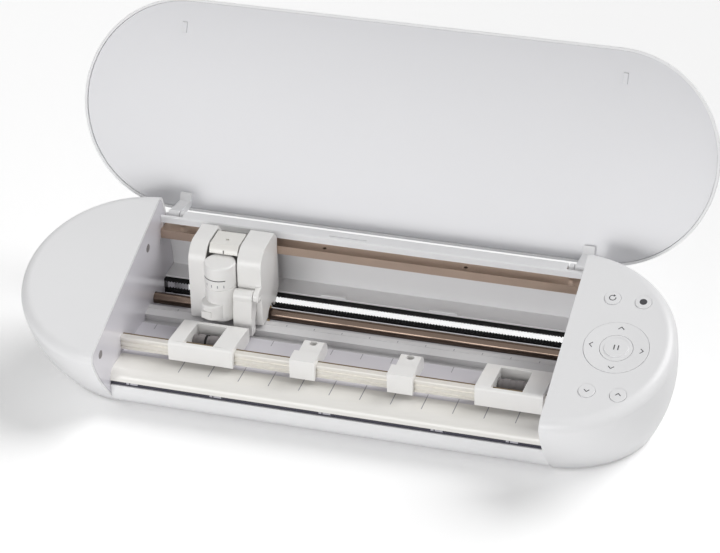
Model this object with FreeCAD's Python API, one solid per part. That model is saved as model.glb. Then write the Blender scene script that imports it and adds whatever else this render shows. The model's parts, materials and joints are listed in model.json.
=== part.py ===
"""Desktop vinyl cutter with an open lid, as separate named pieces.

Millimetres, +X to the control panel, +Y to the back, +Z up.  The floor is z = 0 and the origin is
the middle of the open machine's outline on the floor.
"""
import FreeCAD
import Part
import math
import os

V = FreeCAD.Vector
X_AXIS = V(1, 0, 0)
Y_AXIS = V(0, 1, 0)
Z_AXIS = V(0, 0, 1)

# ---- casing: two rounded ends joined by a cutting bay ----
POD_X = 178.0            # centre of each rounded end
BAY_X = 181.5            # half width of the bay between the side walls
WALL = 2.5               # moulded wall of the casings
FIT = 0.15               # gap between neighbouring casing parts
GAP = 0.4                # gap between bodies that move past each other
SEAM_R = 91.2            # rounded end at the seam below the top cover
SEAM_Y = -37.1
SEAM_Z = 94.8
TILT = 17.1              # the top leans towards the user, degrees
WAIST_R = 86.0
WAIST_Y = -18.7
WAIST_Z = 44.0
WAIST_TILT = 7.4
BASE_R = 71.0
BASE_Y = -4.5
BASE_Z = 2.0
TOP_N = 8.0              # top face above the seam, along the tilted normal
BACK_Y = SEAM_Y + SEAM_R * math.cos(math.radians(TILT))
RIM_ROUND = 10.0
SIDE_WALL_T = 2.5
BUMPER_PLACES = ((9.7, 97.9), (-105.2, 66.2))   # (y, z) on each side wall
BUMPER_R = 3.5
BUMPER_FIT = 0.1
BUMPER_RISE = 0.3
RIB_COUNT = 6
RIB_PITCH = 60.0
RIB_T = 2.0
RIB_TOP = 14.0
RIB_IN = 8.0             # ends of the ribs inside the floor's edge
FOOT_R = 7.0
FOOT_IN = 22.0

# ---- rear housing, ledge and slot ----
LEDGE_Y = BACK_Y - 8.0
LEDGE_Z = 110.5
LEDGE_T = 2.2
LIP_H = 6.3
LIP_T = 2.4
DRAIN_X0 = -36.0         # short channel in the ledge
DRAIN_X1 = -4.0
DRAIN_W = 1.2
SHELF_Y = BACK_Y - 6.0
SHELF_Z = 51.6
SHELF_T = 1.2
SLOT_X = 170.0           # half width of the media slot in the back
SLOT_Z0 = 21.0
SLOT_Z1 = 48.6

# ---- lid and its hinge ----
LID_HALF = 182.9
LID_R = 88.9
LID_DEPTH = 10.0
LID_WALL = 2.2
LID_ROUND = 6.0
LID_GAP = 1.0            # closed lid above the top covers
LID_PANEL_T = 1.6
LID_PANEL_STEP = 1.6     # panel face inside the rim
LID_SWING = 130.4        # from closed to open
HINGE_Y = BACK_Y + 4.4
HINGE_Z = 105.0
PIN_R = 2.0
PIN_FIT = 0.05
EYE_R = 4.5
ARM_X = 169.0            # inner face of each hinge arm
ARM_T = 9.5
ARM_FOOT = 15.0
EAR_T = 3.5
EAR_X = 164.5
NOTCH_X = 163.5          # the ledge is cut away beyond this for the arms
LATCH_X = 188.0
LATCH_IN = 20.0          # tab to the free edge of the lid
LATCH_W = 4.0
LATCH_L = 9.0
LATCH_H = 1.4

# ---- feed path ----
PLATEN_Z = 40.5
PLATEN_T = 2.2
PLATEN_FRONT = -62.0
REAR_PLATEN_DROP = 4.0
REAR_PLATEN_END_Z = 22.0
CHANNEL_Y = -14.0        # the platen ends here, in front of a low channel
CHANNEL_DEPTH = 2.6
STRIP_Y0 = -7.0
STRIP_Y1 = 6.5
STRIP_Z = 46.0
STRIP_FALL = 2.0         # front of the strip below its top
APRON_Y = -90.0
APRON_ROUND = 9.0
FRONT_SLOT_H = 4.0
FRONT_PANEL_T = 2.4
TICK_PITCH = 25.4
FEED_Y = -40.1
FEED_R = 6.0
FEED_RISE = 0.35         # grit sleeves stand this far above the platen
SHAFT_R = 4.0
GEAR_MODULE = 0.8
GEAR_TEETH = 36
PINION_TEETH = 12
GEAR_W = 5.0
GEAR_X = BAY_X + 6
ROLLER_R = 6.2
ROLLER_GAP = 0.35        # the thickness of the thinnest sheet

# ---- guides ----
RAIL_Y0 = BACK_Y - 10.0
RAIL_Y1 = RAIL_Y0 + 12.0
RAIL_Z0 = 90.4
RAIL_Z1 = 98.0
RAIL_WALL = 1.6
RAIL_HOLES = (-40.0, 80.0)   # x of the screw holes
RAIL_HOLE_R = 1.6
ROD_Y = BACK_Y - 32.0
ROD_Z = 45.0
ROD_R = 5.0
END_HOLD = 5.0           # length of each guide beyond the side wall's inner face
BAR_Y0 = -62.6
BAR_Y1 = -57.0
BAR_Z0 = 45.0
BAR_Z1 = 56.0
BAR_GROOVE = 0.8
BAR_ROD_R = 1.3
BAR_RUN = 0.3            # clearance of the sliding units round the bar

# ---- toothed belt ----
BELT_Y = BACK_Y - 6.0
BELT_W = 6.0
BELT_Z = 42.5
BELT_TIP = 3.9           # half the gap between facing tooth tips
TOOTH_H = 1.1
TOOTH_PITCH = 2.54
BELT_T = 1.2
PULLEY_X = 205.0
BELT_RUN = 0.3           # gap between the belt and its pulleys
FLANGE_R = 7.5
FLANGE_T = 1.0
PULLEY_BORE_R = 2.5

# ---- carriage ----
CAR_X0 = -141.5
CAR_X1 = -79.0
CAR_FRONT = -4.0
CAR_TOP = 114.0
CAR_SKIN = 2.0
CAR_FOOT = 47.0
SHOE_T = 2.2
SHOE_END = 13.0          # shoe's ends inside the bushes, clear of the hinge ears at both limits
SHOE_HOOK = 1.8          # hook of the shoe behind the rail
CAR_LEFT_W = 14.5
CAR_RIGHT_W = 20.6
TOOL_X = -113.3
TOOL_Y = -6.0
DIAL_R = 13.1
DIAL_Z0 = 75.0
DIAL_Z1 = 105.0
BLOCK_Z0 = DIAL_Z1 + 1.0   # underside of the clamp block, on the carriage's guide
HOLDER_R = 12.4
HOLDER_Z0 = 51.0
TIP_Z = STRIP_Z + 2.6
BOSS_R = 10.5
BOSS_DX = -4.5
BOSS_DY = -6.6
BUSH_WALL = 2.2
BUSH_L = 9.5
RUN = 0.05               # radial running clearance of a shaft in its bush
LEVER_W = 16.0

# ---- pinch units on the bar: [left x, right x] ----
PINCH_Y0 = -67.0
PINCH_Y1 = -24.0
PINCH_Z0 = 44.2
PINCH_Z1 = 61.5
PINCH_FALL = 4.0         # rear top edge of a wide housing below the front one
WINDOW_LEFT = 12.5
WINDOW_RIGHT = 17.0
LARGE_W = 55.0
LARGE_X = (-139.0, 116.5)
SMALL_W = 21.0
SMALL_X = (-36.0, 45.0)
AXLE_R = 1.5

# ---- controls ----
BUTTON_R = 6.5
BUTTON_RISE = 0.7
BUTTON_U = (210.4, 234.9)
BUTTON_V = (-50.7, 44.4)
RING_U = 223.6
RING_V = -4.5
RING_R = 25.5
PAUSE_R = 12.9
COVER_T = 2.4
FLANGE_H = 1.2
FLANGE_W = 1.4
BOARD_T = 1.6
SOCKET_Y = 52.0
BUTTON_TRAVEL = 1.0
RING_PLAY = 1.1          # room over the ring's flange for its rocking

SIDES = (-1, 1)


# ---- small helpers ----
def box(x0, x1, y0, y1, z0, z1):
    return Part.makeBox(x1 - x0, y1 - y0, z1 - z0, V(x0, y0, z0))


def rod_x(radius, x0, x1, y, z):
    return Part.makeCylinder(radius, x1 - x0, V(x0, y, z), X_AXIS)


def rod_y(radius, y0, y1, x, z):
    return Part.makeCylinder(radius, y1 - y0, V(x, y0, z), Y_AXIS)


def rod_z(radius, z0, z1, x, y):
    return Part.makeCylinder(radius, z1 - z0, V(x, y, z0), Z_AXIS)


def outline(points):
    """Closed wire through points; a point flagged "mid" is the middle of an arc."""
    edges = []
    start = points[0]
    ring = list(points[1:]) + [points[0]]
    middle = None
    for point in ring:
        if len(point) == 3:
            middle = point
            continue
        a = V(start[0], start[1], 0)
        b = V(point[0], point[1], 0)
        if middle is None:
            edges.append(Part.LineSegment(a, b).toShape())
        else:
            edges.append(Part.Arc(a, V(middle[0], middle[1], 0), b).toShape())
        start = point
        middle = None
    return Part.Wire(edges)


def slab(points, height):
    return Part.Face(outline(points)).extrude(V(0, 0, height))


def prism(points, x0, x1):
    """Solid with its outline in the YZ plane, running from x0 to x1."""
    solid = slab(points, x1 - x0)
    solid.Placement = FreeCAD.Placement(V(x0, 0, 0), FreeCAD.Rotation(V(1, 1, 1), 120))
    return solid


def stadium(half, radius, height):
    points = [(-half, -radius), (half, -radius), (half + radius, 0, "mid"),
              (half, radius), (-half, radius), (-half - radius, 0, "mid")]
    return slab(points, height)


def fuse(shapes):
    return shapes[0].multiFuse(shapes[1:]).removeSplitter() if len(shapes) > 1 else shapes[0]


def mirrored(shape):
    return shape.mirror(V(0, 0, 0), X_AXIS)


def tilted(shape):
    """Place a shape made in the (u, v, n) frame of the sloping top."""
    solid = shape.copy()
    solid.transformShape(FreeCAD.Placement(V(0, SEAM_Y, SEAM_Z), FreeCAD.Rotation(X_AXIS, TILT)).toMatrix())
    return solid


def tilt_point(v, n):
    t = math.radians(TILT)
    return SEAM_Y + v * math.cos(t) - n * math.sin(t), SEAM_Z + v * math.sin(t) + n * math.cos(t)


def opened(shape):
    """Swing a piece of the closed lid to the open rest position."""
    solid = shape.copy()
    solid.rotate(V(0, HINGE_Y, HINGE_Z), X_AXIS, -LID_SWING)
    return solid


# ---- casing ----
def skirt_section(radius, y, z, tilt):
    circle = Part.makeCircle(radius)
    circle.Placement = FreeCAD.Placement(V(POD_X, y, z), FreeCAD.Rotation(X_AXIS, tilt))
    return Part.Wire([circle])


def skirt_solid(inset):
    """Tapered round tub of one end, drawn in by inset."""
    return Part.makeLoft([
        skirt_section(BASE_R - inset, BASE_Y, BASE_Z, 0),
        skirt_section(WAIST_R - inset, WAIST_Y, WAIST_Z, WAIST_TILT),
        skirt_section(SEAM_R - inset, SEAM_Y, SEAM_Z, TILT)], True, False)


def cover_solid(inset):
    """Flat round top with a rounded rim, drawn in by inset."""
    r = SEAM_R - inset
    n = TOP_N - inset
    flat = SEAM_R - RIM_ROUND
    corner = (flat + (r - flat) * math.sin(math.pi / 4), n * math.sin(math.pi / 4), "mid")
    face = Part.Face(outline([(0, 0), (r, 0), corner, (flat, n), (0, n)]))
    face.Placement = FreeCAD.Placement(V(0, 0, 0), FreeCAD.Rotation(X_AXIS, 90))
    solid = face.revolve(V(0, 0, 0), Z_AXIS, 360)
    solid.translate(V(POD_X, 0, 0))
    return tilted(solid)


def outboard(x):
    """Space beyond x on the right-hand side."""
    return box(x, 2 * POD_X, -200, 200, -10, 250)


def make_skirt():
    shell = skirt_solid(0).cut(skirt_solid(WALL))
    return shell.common(outboard(BAY_X))


def make_cover():
    shell = cover_solid(0).cut(cover_solid(COVER_T))
    return shell.common(outboard(BAY_X))


def make_side_wall(right):
    """Upright wall that closes an end casing and carries the guides."""
    inner = skirt_solid(WALL + FIT).fuse(cover_solid(COVER_T + FIT))
    wall = inner.common(box(BAY_X, BAY_X + SIDE_WALL_T, -200, 200, BASE_Z + WALL, 250))
    holes = [
        box(BAY_X - 1, BAY_X + 9, RAIL_Y0 - FIT, RAIL_Y1 + FIT, RAIL_Z0 - FIT, RAIL_Z1 + FIT),
        rod_x(ROD_R + FIT, BAY_X - 1, BAY_X + 9, ROD_Y, ROD_Z),
        box(BAY_X - 1, BAY_X + 9, BAR_Y0 - FIT, BAR_Y1 + FIT, BAR_Z0 - FIT, BAR_Z1 + FIT),
        rod_x(SHAFT_R + 2, BAY_X - 1, BAY_X + 9, FEED_Y, feed_z()),
        belt_slot(BAY_X - 1, BAY_X + 9),
        box(BAY_X - 1, BAY_X + 9, LEDGE_Y - 4, LEDGE_Y - 2.6, 84, 90),
    ]
    for y, z in BUMPER_PLACES:
        holes.append(rod_x(BUMPER_R + BUMPER_FIT, BAY_X - 1, BAY_X + 9, y, z))
    for hole in holes:
        wall = wall.cut(hole)
    return wall if right else mirrored(wall)


def belt_slot(x0, x1):
    half = BELT_TIP + TOOTH_H + BELT_T + 1.2
    return box(x0, x1, BELT_Y - BELT_W / 2 - 1, BELT_Y + BELT_W / 2 + 1, BELT_Z - half, BELT_Z + half)


def make_bumpers():
    """Soft caps pressed into the side walls where the lid would touch."""
    caps = []
    for y, z in BUMPER_PLACES:
        cap = rod_x(BUMPER_R, BAY_X - BUMPER_RISE, BAY_X + SIDE_WALL_T, y, z)
        caps.append(cap)
        caps.append(mirrored(cap))
    return Part.makeCompound(caps)


def rear_point(radius, y, z, tilt, inset=0):
    t = math.radians(tilt)
    return y + (radius - inset) * math.cos(t), z + (radius - inset) * math.sin(t)


def rear_skin(inset):
    """Outline between the back surface drawn in by inset and the bay, as (y, z) points."""
    low = rear_point(BASE_R, BASE_Y, BASE_Z, 0, inset)
    middle = rear_point(WAIST_R, WAIST_Y, WAIST_Z, WAIST_TILT, inset)
    high = rear_point(SEAM_R, SEAM_Y, SEAM_Z, TILT, inset)
    return low, (middle[0], middle[1], "mid"), high


def make_rear_housing():
    """Curved back wall with the media slot, a shelf over the slot and pads for the ears."""
    low, middle, high = rear_skin(0)
    low_in, middle_in, high_in = rear_skin(WALL)
    wall = prism([low, middle, high, high_in, middle_in, low_in], -BAY_X, BAY_X)
    wall = wall.common(box(-BAY_X, BAY_X, 0, 200, BASE_Z, LEDGE_Z - LEDGE_T))
    room = prism([low, middle, high, (0, high[1]), (0, low[1])], -BAY_X, BAY_X)
    shelf = room.common(box(-BAY_X, BAY_X, SHELF_Y, 200, SHELF_Z - SHELF_T, SHELF_Z))
    body = fuse([wall, shelf])
    body = body.cut(box(-SLOT_X, SLOT_X, SHELF_Y + 12, 90, SLOT_Z0, SLOT_Z1))
    for side in SIDES:
        x0, x1 = sorted((side * NOTCH_X, side * (BAY_X + 1)))
        body = body.cut(box(x0, x1, LEDGE_Y, 90, notch_z(), LEDGE_Z))
    return body


def notch_z():
    """Floor of the notches that the lid's arms swing through."""
    return HINGE_Z - EYE_R - 6


def make_hinge_ledge():
    """Top ledge with its front lip and a short drain channel along the middle."""
    y_back = rear_edge_y(LEDGE_Z)
    lip = [(LEDGE_Y, LEDGE_Z - LIP_H), (LEDGE_Y + LIP_T, LEDGE_Z - LIP_H),
           (LEDGE_Y + LIP_T, LEDGE_Z), (LEDGE_Y + 1, LEDGE_Z), (LEDGE_Y, LEDGE_Z - 1)]
    plate = box(-NOTCH_X, NOTCH_X, LEDGE_Y + LIP_T, y_back, LEDGE_Z - LEDGE_T, LEDGE_Z)
    front = LEDGE_Y + LIP_T + DRAIN_W
    drain = box(DRAIN_X0, DRAIN_X1, front, front + DRAIN_W, LEDGE_Z - 1, LEDGE_Z)
    return fuse([prism(lip, -BAY_X, BAY_X), plate]).cut(drain)


def rear_edge_y(z):
    """Depth of the back surface at height z, from the arc through its three points."""
    low, middle, high = rear_skin(0)
    arc = Part.Arc(V(0, *low), V(0, *middle[:2]), V(0, *high)).toShape()
    cutter = Part.makeLine(V(0, 0, z), V(0, 200, z))
    return arc.distToShape(cutter)[1][0][0].y


def make_hinge_ears():
    """Low ears in the ledge's notches, each with a hinge pin that ends at the side wall."""
    parts = []
    for side in SIDES:
        ear = prism([(RAIL_Y1 + FIT, notch_z()), (HINGE_Y + EYE_R, notch_z()),
                     (HINGE_Y + EYE_R, HINGE_Z), (HINGE_Y, HINGE_Z + EYE_R, "mid"),
                     (HINGE_Y - EYE_R, HINGE_Z), (HINGE_Y - EYE_R, RAIL_Z1 + 1),
                     (RAIL_Y1 + FIT, RAIL_Z1 + 1)], EAR_X, EAR_X + EAR_T)
        pin = rod_x(PIN_R, EAR_X, BAY_X, HINGE_Y, HINGE_Z)
        piece = fuse([ear, pin])
        parts.append(piece if side > 0 else mirrored(piece))
    return Part.makeCompound(parts)


def make_base_pan():
    """Floor plate with an upstand and cross ribs that stiffen it."""
    radius = BASE_R - WALL - FIT
    floor = stadium(POD_X, radius, WALL)
    floor.translate(V(0, BASE_Y, BASE_Z))
    ribs = []
    reach = radius - RIB_IN
    for i in range(RIB_COUNT):
        x = (i - (RIB_COUNT - 1) / 2) * RIB_PITCH
        ribs.append(box(x - RIB_T / 2, x + RIB_T / 2, BASE_Y - reach, BASE_Y + reach, BASE_Z + WALL, RIB_TOP))
    pan = fuse([floor] + ribs)
    for x, y in foot_places():
        pan = pan.cut(rod_z(FOOT_R + FIT, BASE_Z - 1, BASE_Z + 1, x, y))
    return pan


def foot_places():
    depth = BASE_R - WALL - FOOT_IN
    return [(sx * POD_X, BASE_Y + sy * depth) for sx in SIDES for sy in SIDES]


def make_feet():
    return Part.makeCompound([rod_z(FOOT_R, 0, BASE_Z + 1, x, y) for x, y in foot_places()])


# ---- front and feed path ----
def make_front_panel():
    """Rounded panel under the front slot."""
    top = PLATEN_Z - APRON_ROUND - FRONT_SLOT_H
    outer = [(APRON_Y, top), (APRON_Y + 0.5, 18, "mid"), (BASE_Y - BASE_R + 3, BASE_Z + WALL)]
    inner = [(BASE_Y - BASE_R + 6, BASE_Z + WALL), (APRON_Y + FRONT_PANEL_T + 0.8, 18, "mid"),
             (APRON_Y + FRONT_PANEL_T, top)]
    return prism(outer + inner, -BAY_X, BAY_X)


def make_front_slot():
    """Dark strip recessed between the apron and the front panel."""
    top = PLATEN_Z - APRON_ROUND
    return box(-BAY_X, BAY_X, APRON_Y + 1.2, APRON_Y + 4.2, top - FRONT_SLOT_H, top)


def make_front_apron():
    """Cream apron that curves down to the front slot, with inch marks cut in it."""
    top = PLATEN_Z
    edge = top - APRON_ROUND
    k = APRON_ROUND * (1 - math.sin(math.pi / 4))
    t = PLATEN_T
    profile = [(APRON_Y, edge), (APRON_Y + k, top - k, "mid"), (APRON_Y + APRON_ROUND, top),
               (PLATEN_FRONT, top), (PLATEN_FRONT, top - t), (APRON_Y + APRON_ROUND, top - t),
               (APRON_Y + k + t * 0.7, top - k - t * 0.7, "mid"), (APRON_Y + t, edge)]
    apron = prism(profile, -BAY_X, BAY_X)
    marks = [box(x - 0.2, x + 0.2, APRON_Y + APRON_ROUND, PLATEN_FRONT, top - 0.3, top + 1)
             for x in tick_places()]
    return apron.cut(Part.makeCompound(marks))


def tick_places():
    count = int(2 * BAY_X / TICK_PITCH)
    first = -(count - 1) / 2 * TICK_PITCH
    return [first + i * TICK_PITCH for i in range(count)]


def feed_z():
    return PLATEN_Z + FEED_RISE - FEED_R


def make_platen():
    """Flat platen with a slot for the feed roller."""
    plate = box(-BAY_X, BAY_X, PLATEN_FRONT, CHANNEL_Y, PLATEN_Z - PLATEN_T, PLATEN_Z)
    slot = box(-BAY_X - 1, BAY_X + 1, FEED_Y - FEED_R - 0.6, FEED_Y + FEED_R + 0.6, 0, PLATEN_Z + 1)
    rib = box(-BAY_X, BAY_X, FEED_Y + FEED_R + 0.6, FEED_Y + FEED_R + 2.6, PLATEN_Z - 9, PLATEN_Z - PLATEN_T)
    front_rib = box(-BAY_X, BAY_X, FEED_Y - FEED_R - 2.6, FEED_Y - FEED_R - 0.6,
                    PLATEN_Z - 9, PLATEN_Z - PLATEN_T)
    trough = box(-BAY_X, BAY_X, FEED_Y - FEED_R - 2.6, FEED_Y + FEED_R + 2.6, feed_z() - FEED_R - 3,
                 feed_z() - FEED_R - 1)
    sides = [box(-BAY_X, BAY_X, y, y + 2, feed_z() - FEED_R - 3, PLATEN_Z - 9)
             for y in (FEED_Y - FEED_R - 2.6, FEED_Y + FEED_R + 0.6)]
    return fuse([plate.cut(slot), rib, front_rib, trough] + sides)


def make_cutting_strip():
    """Raised strip that the blade runs over, with an overhanging lip above a low channel."""
    z = STRIP_Z
    lip = z - STRIP_FALL
    floor = PLATEN_Z - CHANNEL_DEPTH
    under = floor - PLATEN_T
    profile = [(CHANNEL_Y, under), (CHANNEL_Y, PLATEN_Z), (CHANNEL_Y + 1.2, PLATEN_Z - 0.6),
               (CHANNEL_Y + 2.4, floor), (STRIP_Y0 + 1.8, floor), (STRIP_Y0 + 1.8, lip - 2.0),
               (STRIP_Y0, lip - 0.8), (STRIP_Y0, lip), (0, z - 0.2), (0.4, z - 0.6), (0.8, z),
               (STRIP_Y1 - 1, z), (STRIP_Y1, z - 1), (STRIP_Y1, rear_platen_top(STRIP_Y1) - PLATEN_T)]
    return prism(profile, -BAY_X, BAY_X)


def rear_platen_top(y):
    y_end = rear_edge_y(SLOT_Z0) - WALL
    slope = (PLATEN_Z - REAR_PLATEN_DROP - REAR_PLATEN_END_Z) / (y_end - STRIP_Y1)
    return PLATEN_Z - REAR_PLATEN_DROP - (y - STRIP_Y1) * slope


def make_rear_platen():
    """Sloping plate from the cutting strip to the rear slot."""
    y_end = rear_edge_y(REAR_PLATEN_END_Z) - WALL - 0.3
    profile = [(STRIP_Y1, rear_platen_top(STRIP_Y1) - PLATEN_T), (y_end, rear_platen_top(y_end) - PLATEN_T),
               (y_end, rear_platen_top(y_end)), (STRIP_Y1, rear_platen_top(STRIP_Y1))]
    return prism(profile, -BAY_X, BAY_X)


def make_feed_roller():
    """Steel shaft with knurled grit sleeves under the pinch rollers and a drive gear."""
    z = feed_z()
    x_end = BAY_X + 12
    shaft = rod_x(SHAFT_R, -BAY_X - SIDE_WALL_T - 2, x_end, FEED_Y, z)
    sleeves = []
    for x0 in LARGE_X:
        sleeves.append(rod_x(FEED_R, x0 + 6, x0 + LARGE_W - 6, FEED_Y, z))
    for x0 in SMALL_X:
        sleeves.append(rod_x(FEED_R, x0 - 4, x0 + SMALL_W + 4, FEED_Y, z))
    return fuse([shaft] + sleeves)


def gear(teeth, module, width, x0, y, z, turn):
    """Spur gear along X with straight-sided teeth."""
    root = module * (teeth / 2 - 1.25)
    tip = module * (teeth / 2 + 0.8)
    step = 2 * math.pi / teeth
    points = []
    for i in range(teeth):
        for radius, share in ((root, -0.34), (tip, -0.13), (tip, 0.13), (root, 0.34)):
            a = turn + (i + share) * step
            points.append((y + radius * math.cos(a), z + radius * math.sin(a)))
    return prism(points, x0, x0 + width)


def pinion_centre():
    reach = GEAR_MODULE * (GEAR_TEETH + PINION_TEETH) / 2
    return FEED_Y + reach * math.cos(math.radians(10)), feed_z() + reach * math.sin(math.radians(10))


def make_feed_gear():
    wheel = gear(GEAR_TEETH, GEAR_MODULE, GEAR_W, GEAR_X, FEED_Y, feed_z(), math.radians(10))
    return wheel.cut(rod_x(SHAFT_R, GEAR_X - 1, GEAR_X + GEAR_W + 1, FEED_Y, feed_z()))


def make_motor_pinion():
    y, z = pinion_centre()
    half_tooth = math.pi / PINION_TEETH
    wheel = gear(PINION_TEETH, GEAR_MODULE, GEAR_W, GEAR_X, y, z, math.radians(190) + half_tooth)
    return wheel.cut(rod_x(1.5 + RUN, GEAR_X - 1, GEAR_X + GEAR_W + 1, y, z))


def make_feed_motor():
    """Stepper motor outboard of the gears, on a plate that spans to the side wall."""
    y, z = pinion_centre()
    face = GEAR_X + GEAR_W + 1.5
    can = box(face, face + 22, y - 17.5, y + 17.5, z - 14, z + 17.5)
    shaft = rod_x(1.5, GEAR_X + 0.2, face, y, z)
    posts = [rod_x(2.5, BAY_X + SIDE_WALL_T, face, y + dy, z + dz) for dy, dz in ((14, 14), (14, -11))]
    return fuse([can, shaft] + posts)


def make_bushes():
    """Plastic bushes in the side walls for the feed shaft."""
    bushes = []
    for side in SIDES:
        ring = rod_x(SHAFT_R + 2, BAY_X, BAY_X + SIDE_WALL_T, FEED_Y, feed_z())
        ring = ring.cut(rod_x(SHAFT_R + RUN, BAY_X - 1, BAY_X + 9, FEED_Y, feed_z()))
        bushes.append(ring if side > 0 else mirrored(ring))
    return Part.makeCompound(bushes)


# ---- guides ----
def make_upper_rail():
    x_end = BAY_X + END_HOLD
    beam = box(-x_end, x_end, RAIL_Y0, RAIL_Y1, RAIL_Z0, RAIL_Z1)
    hollow = box(-x_end - 1, x_end + 1, RAIL_Y0 + RAIL_WALL, RAIL_Y1 - RAIL_WALL,
                 RAIL_Z0 + RAIL_WALL, RAIL_Z1 - RAIL_WALL)
    middle = (RAIL_Y0 + RAIL_Y1) / 2
    screws = [rod_z(RAIL_HOLE_R, RAIL_Z1 - RAIL_WALL - 1, RAIL_Z1 + 1, x, middle) for x in RAIL_HOLES]
    return beam.cut(hollow).cut(Part.makeCompound(screws))


def make_guide_shaft():
    x_end = BAY_X + END_HOLD
    return rod_x(ROD_R, -x_end, x_end, ROD_Y, ROD_Z)


def make_pinch_bar():
    """Extruded bar with lengthwise grooves in its top and front faces."""
    x_end = BAY_X + 2
    g = BAR_GROOVE
    rise = BAR_Z1 - BAR_Z0
    points = [(BAR_Y1, BAR_Z0), (BAR_Y0, BAR_Z0)]
    for share, width in ((0.25, g), (0.68, 2 * g)):
        z = BAR_Z0 + share * rise
        points += [(BAR_Y0, z - width / 2), (BAR_Y0 + g, z - width / 2),
                   (BAR_Y0 + g, z + width / 2), (BAR_Y0, z + width / 2)]
    points += [(BAR_Y0, BAR_Z1 - g), (BAR_Y0 + g, BAR_Z1), (BAR_Y1, BAR_Z1)]
    return prism(points, -x_end, x_end)


def make_bar_rod():
    """Thin steel rod along the bar's top rear edge."""
    return rod_x(BAR_ROD_R, -BAY_X, BAY_X, BAR_Y1 + BAR_ROD_R, BAR_Z1 - BAR_ROD_R)


# ---- belt drive ----
def make_belt():
    """Endless toothed belt, teeth inwards, round a pulley in each end."""
    tip = BELT_TIP
    root = tip + TOOTH_H
    back = root + BELT_T
    y0 = BELT_Y - BELT_W / 2
    toothed = BAY_X - 1
    count = int(2 * toothed / TOOTH_PITCH)
    first = -count * TOOTH_PITCH / 2
    outer = [(-PULLEY_X, -back), (PULLEY_X, -back), (PULLEY_X + back, 0, "mid"),
             (PULLEY_X, back), (-PULLEY_X, back), (-PULLEY_X - back, 0, "mid")]
    inner = [(-PULLEY_X, -root)]
    inner += tooth_row(first, count, -root, -tip)
    inner += [(PULLEY_X, -root), (PULLEY_X + root, 0, "mid"), (PULLEY_X, root)]
    inner += tooth_row(-first, count, root, tip)
    inner += [(-PULLEY_X, root), (-PULLEY_X - root, 0, "mid")]
    belt = Part.Face([outline(outer), outline(inner)])
    if not belt.isValid():
        belt.validate()
    solid = belt.extrude(V(0, 0, BELT_W))
    solid.Placement = FreeCAD.Placement(V(0, y0 + BELT_W, BELT_Z), FreeCAD.Rotation(X_AXIS, 90))
    return solid


def tooth_row(first, count, root, tip):
    way = 1 if first < 0 else -1
    points = []
    for i in range(count):
        x = first + way * i * TOOTH_PITCH
        points.append((x + way * 0.3, root))
        points.append((x + way * TOOTH_PITCH / 2, tip))
        points.append((x + way * (TOOTH_PITCH - 0.3), root))
    return points


def make_pulley(side):
    """Flanged pulley inside an end of the belt loop."""
    x = side * PULLEY_X
    radius = BELT_TIP + TOOTH_H - BELT_RUN
    half = BELT_W / 2 + 0.4
    parts = [rod_y(radius, BELT_Y - half, BELT_Y + half, x, BELT_Z),
             rod_y(FLANGE_R, BELT_Y - half - FLANGE_T, BELT_Y - half, x, BELT_Z),
             rod_y(FLANGE_R, BELT_Y + half, BELT_Y + half + FLANGE_T, x, BELT_Z)]
    wheel = fuse(parts)
    return wheel.cut(rod_y(PULLEY_BORE_R + RUN, BELT_Y - 20, BELT_Y + 20, x, BELT_Z))


def make_carriage_motor():
    """Stepper motor in front of the drive pulley, its shaft through the pulley."""
    half = BELT_W / 2 + 0.4 + FLANGE_T
    face = BELT_Y - half - 1.5
    half_w = 17.5
    can = box(PULLEY_X - half_w, PULLEY_X + half_w, face - 24, face, BELT_Z - half_w, BELT_Z + half_w)
    shaft = rod_y(PULLEY_BORE_R, face, BELT_Y + half, PULLEY_X, BELT_Z)
    return fuse([can, shaft])


def make_idler_bracket():
    """Forked bracket with a pin for the idler pulley, fixed to the left side wall."""
    half = BELT_W / 2 + 0.4 + FLANGE_T + 0.5
    x_wall = -BAY_X - SIDE_WALL_T
    cheeks = [box(-PULLEY_X - 5, x_wall, y, y + 2, BELT_Z - 5, BELT_Z + 5)
              for y in (BELT_Y - half - 2, BELT_Y + half)]
    pin = rod_y(PULLEY_BORE_R, BELT_Y - half - 2, BELT_Y + half + 2, -PULLEY_X, BELT_Z)
    return fuse(cheeks + [pin])


# ---- lid ----
def lid_base_n():
    return TOP_N + LID_GAP


def make_lid_shell():
    """Shallow pill-shaped tray with a rounded outer edge."""
    outer = stadium(LID_HALF, LID_R, LID_DEPTH)
    top_edges = [e for e in outer.Edges if e.BoundBox.ZMin > LID_DEPTH - 0.01]
    outer = outer.makeFillet(LID_ROUND, top_edges)
    inner = stadium(LID_HALF, LID_R - LID_WALL, LID_DEPTH - LID_WALL)
    shell = outer.cut(inner)
    shell.translate(V(0, 0, lid_base_n()))
    return opened(tilted(shell))


def make_lid_panel():
    """Inner panel set inside the rim, with a small stop tab near each free corner."""
    radius = LID_R - LID_WALL - FIT
    base = lid_base_n() + LID_PANEL_STEP
    panel = stadium(LID_HALF, radius, LID_PANEL_T)
    panel.translate(V(0, 0, base))
    tabs = []
    for side in SIDES:
        x0 = side * LATCH_X - LATCH_W / 2
        tabs.append(box(x0, x0 + LATCH_W, LATCH_IN - LID_R, LATCH_IN - LID_R + LATCH_L, base - LATCH_H, base))
    return opened(tilted(fuse([panel] + tabs)))


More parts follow.
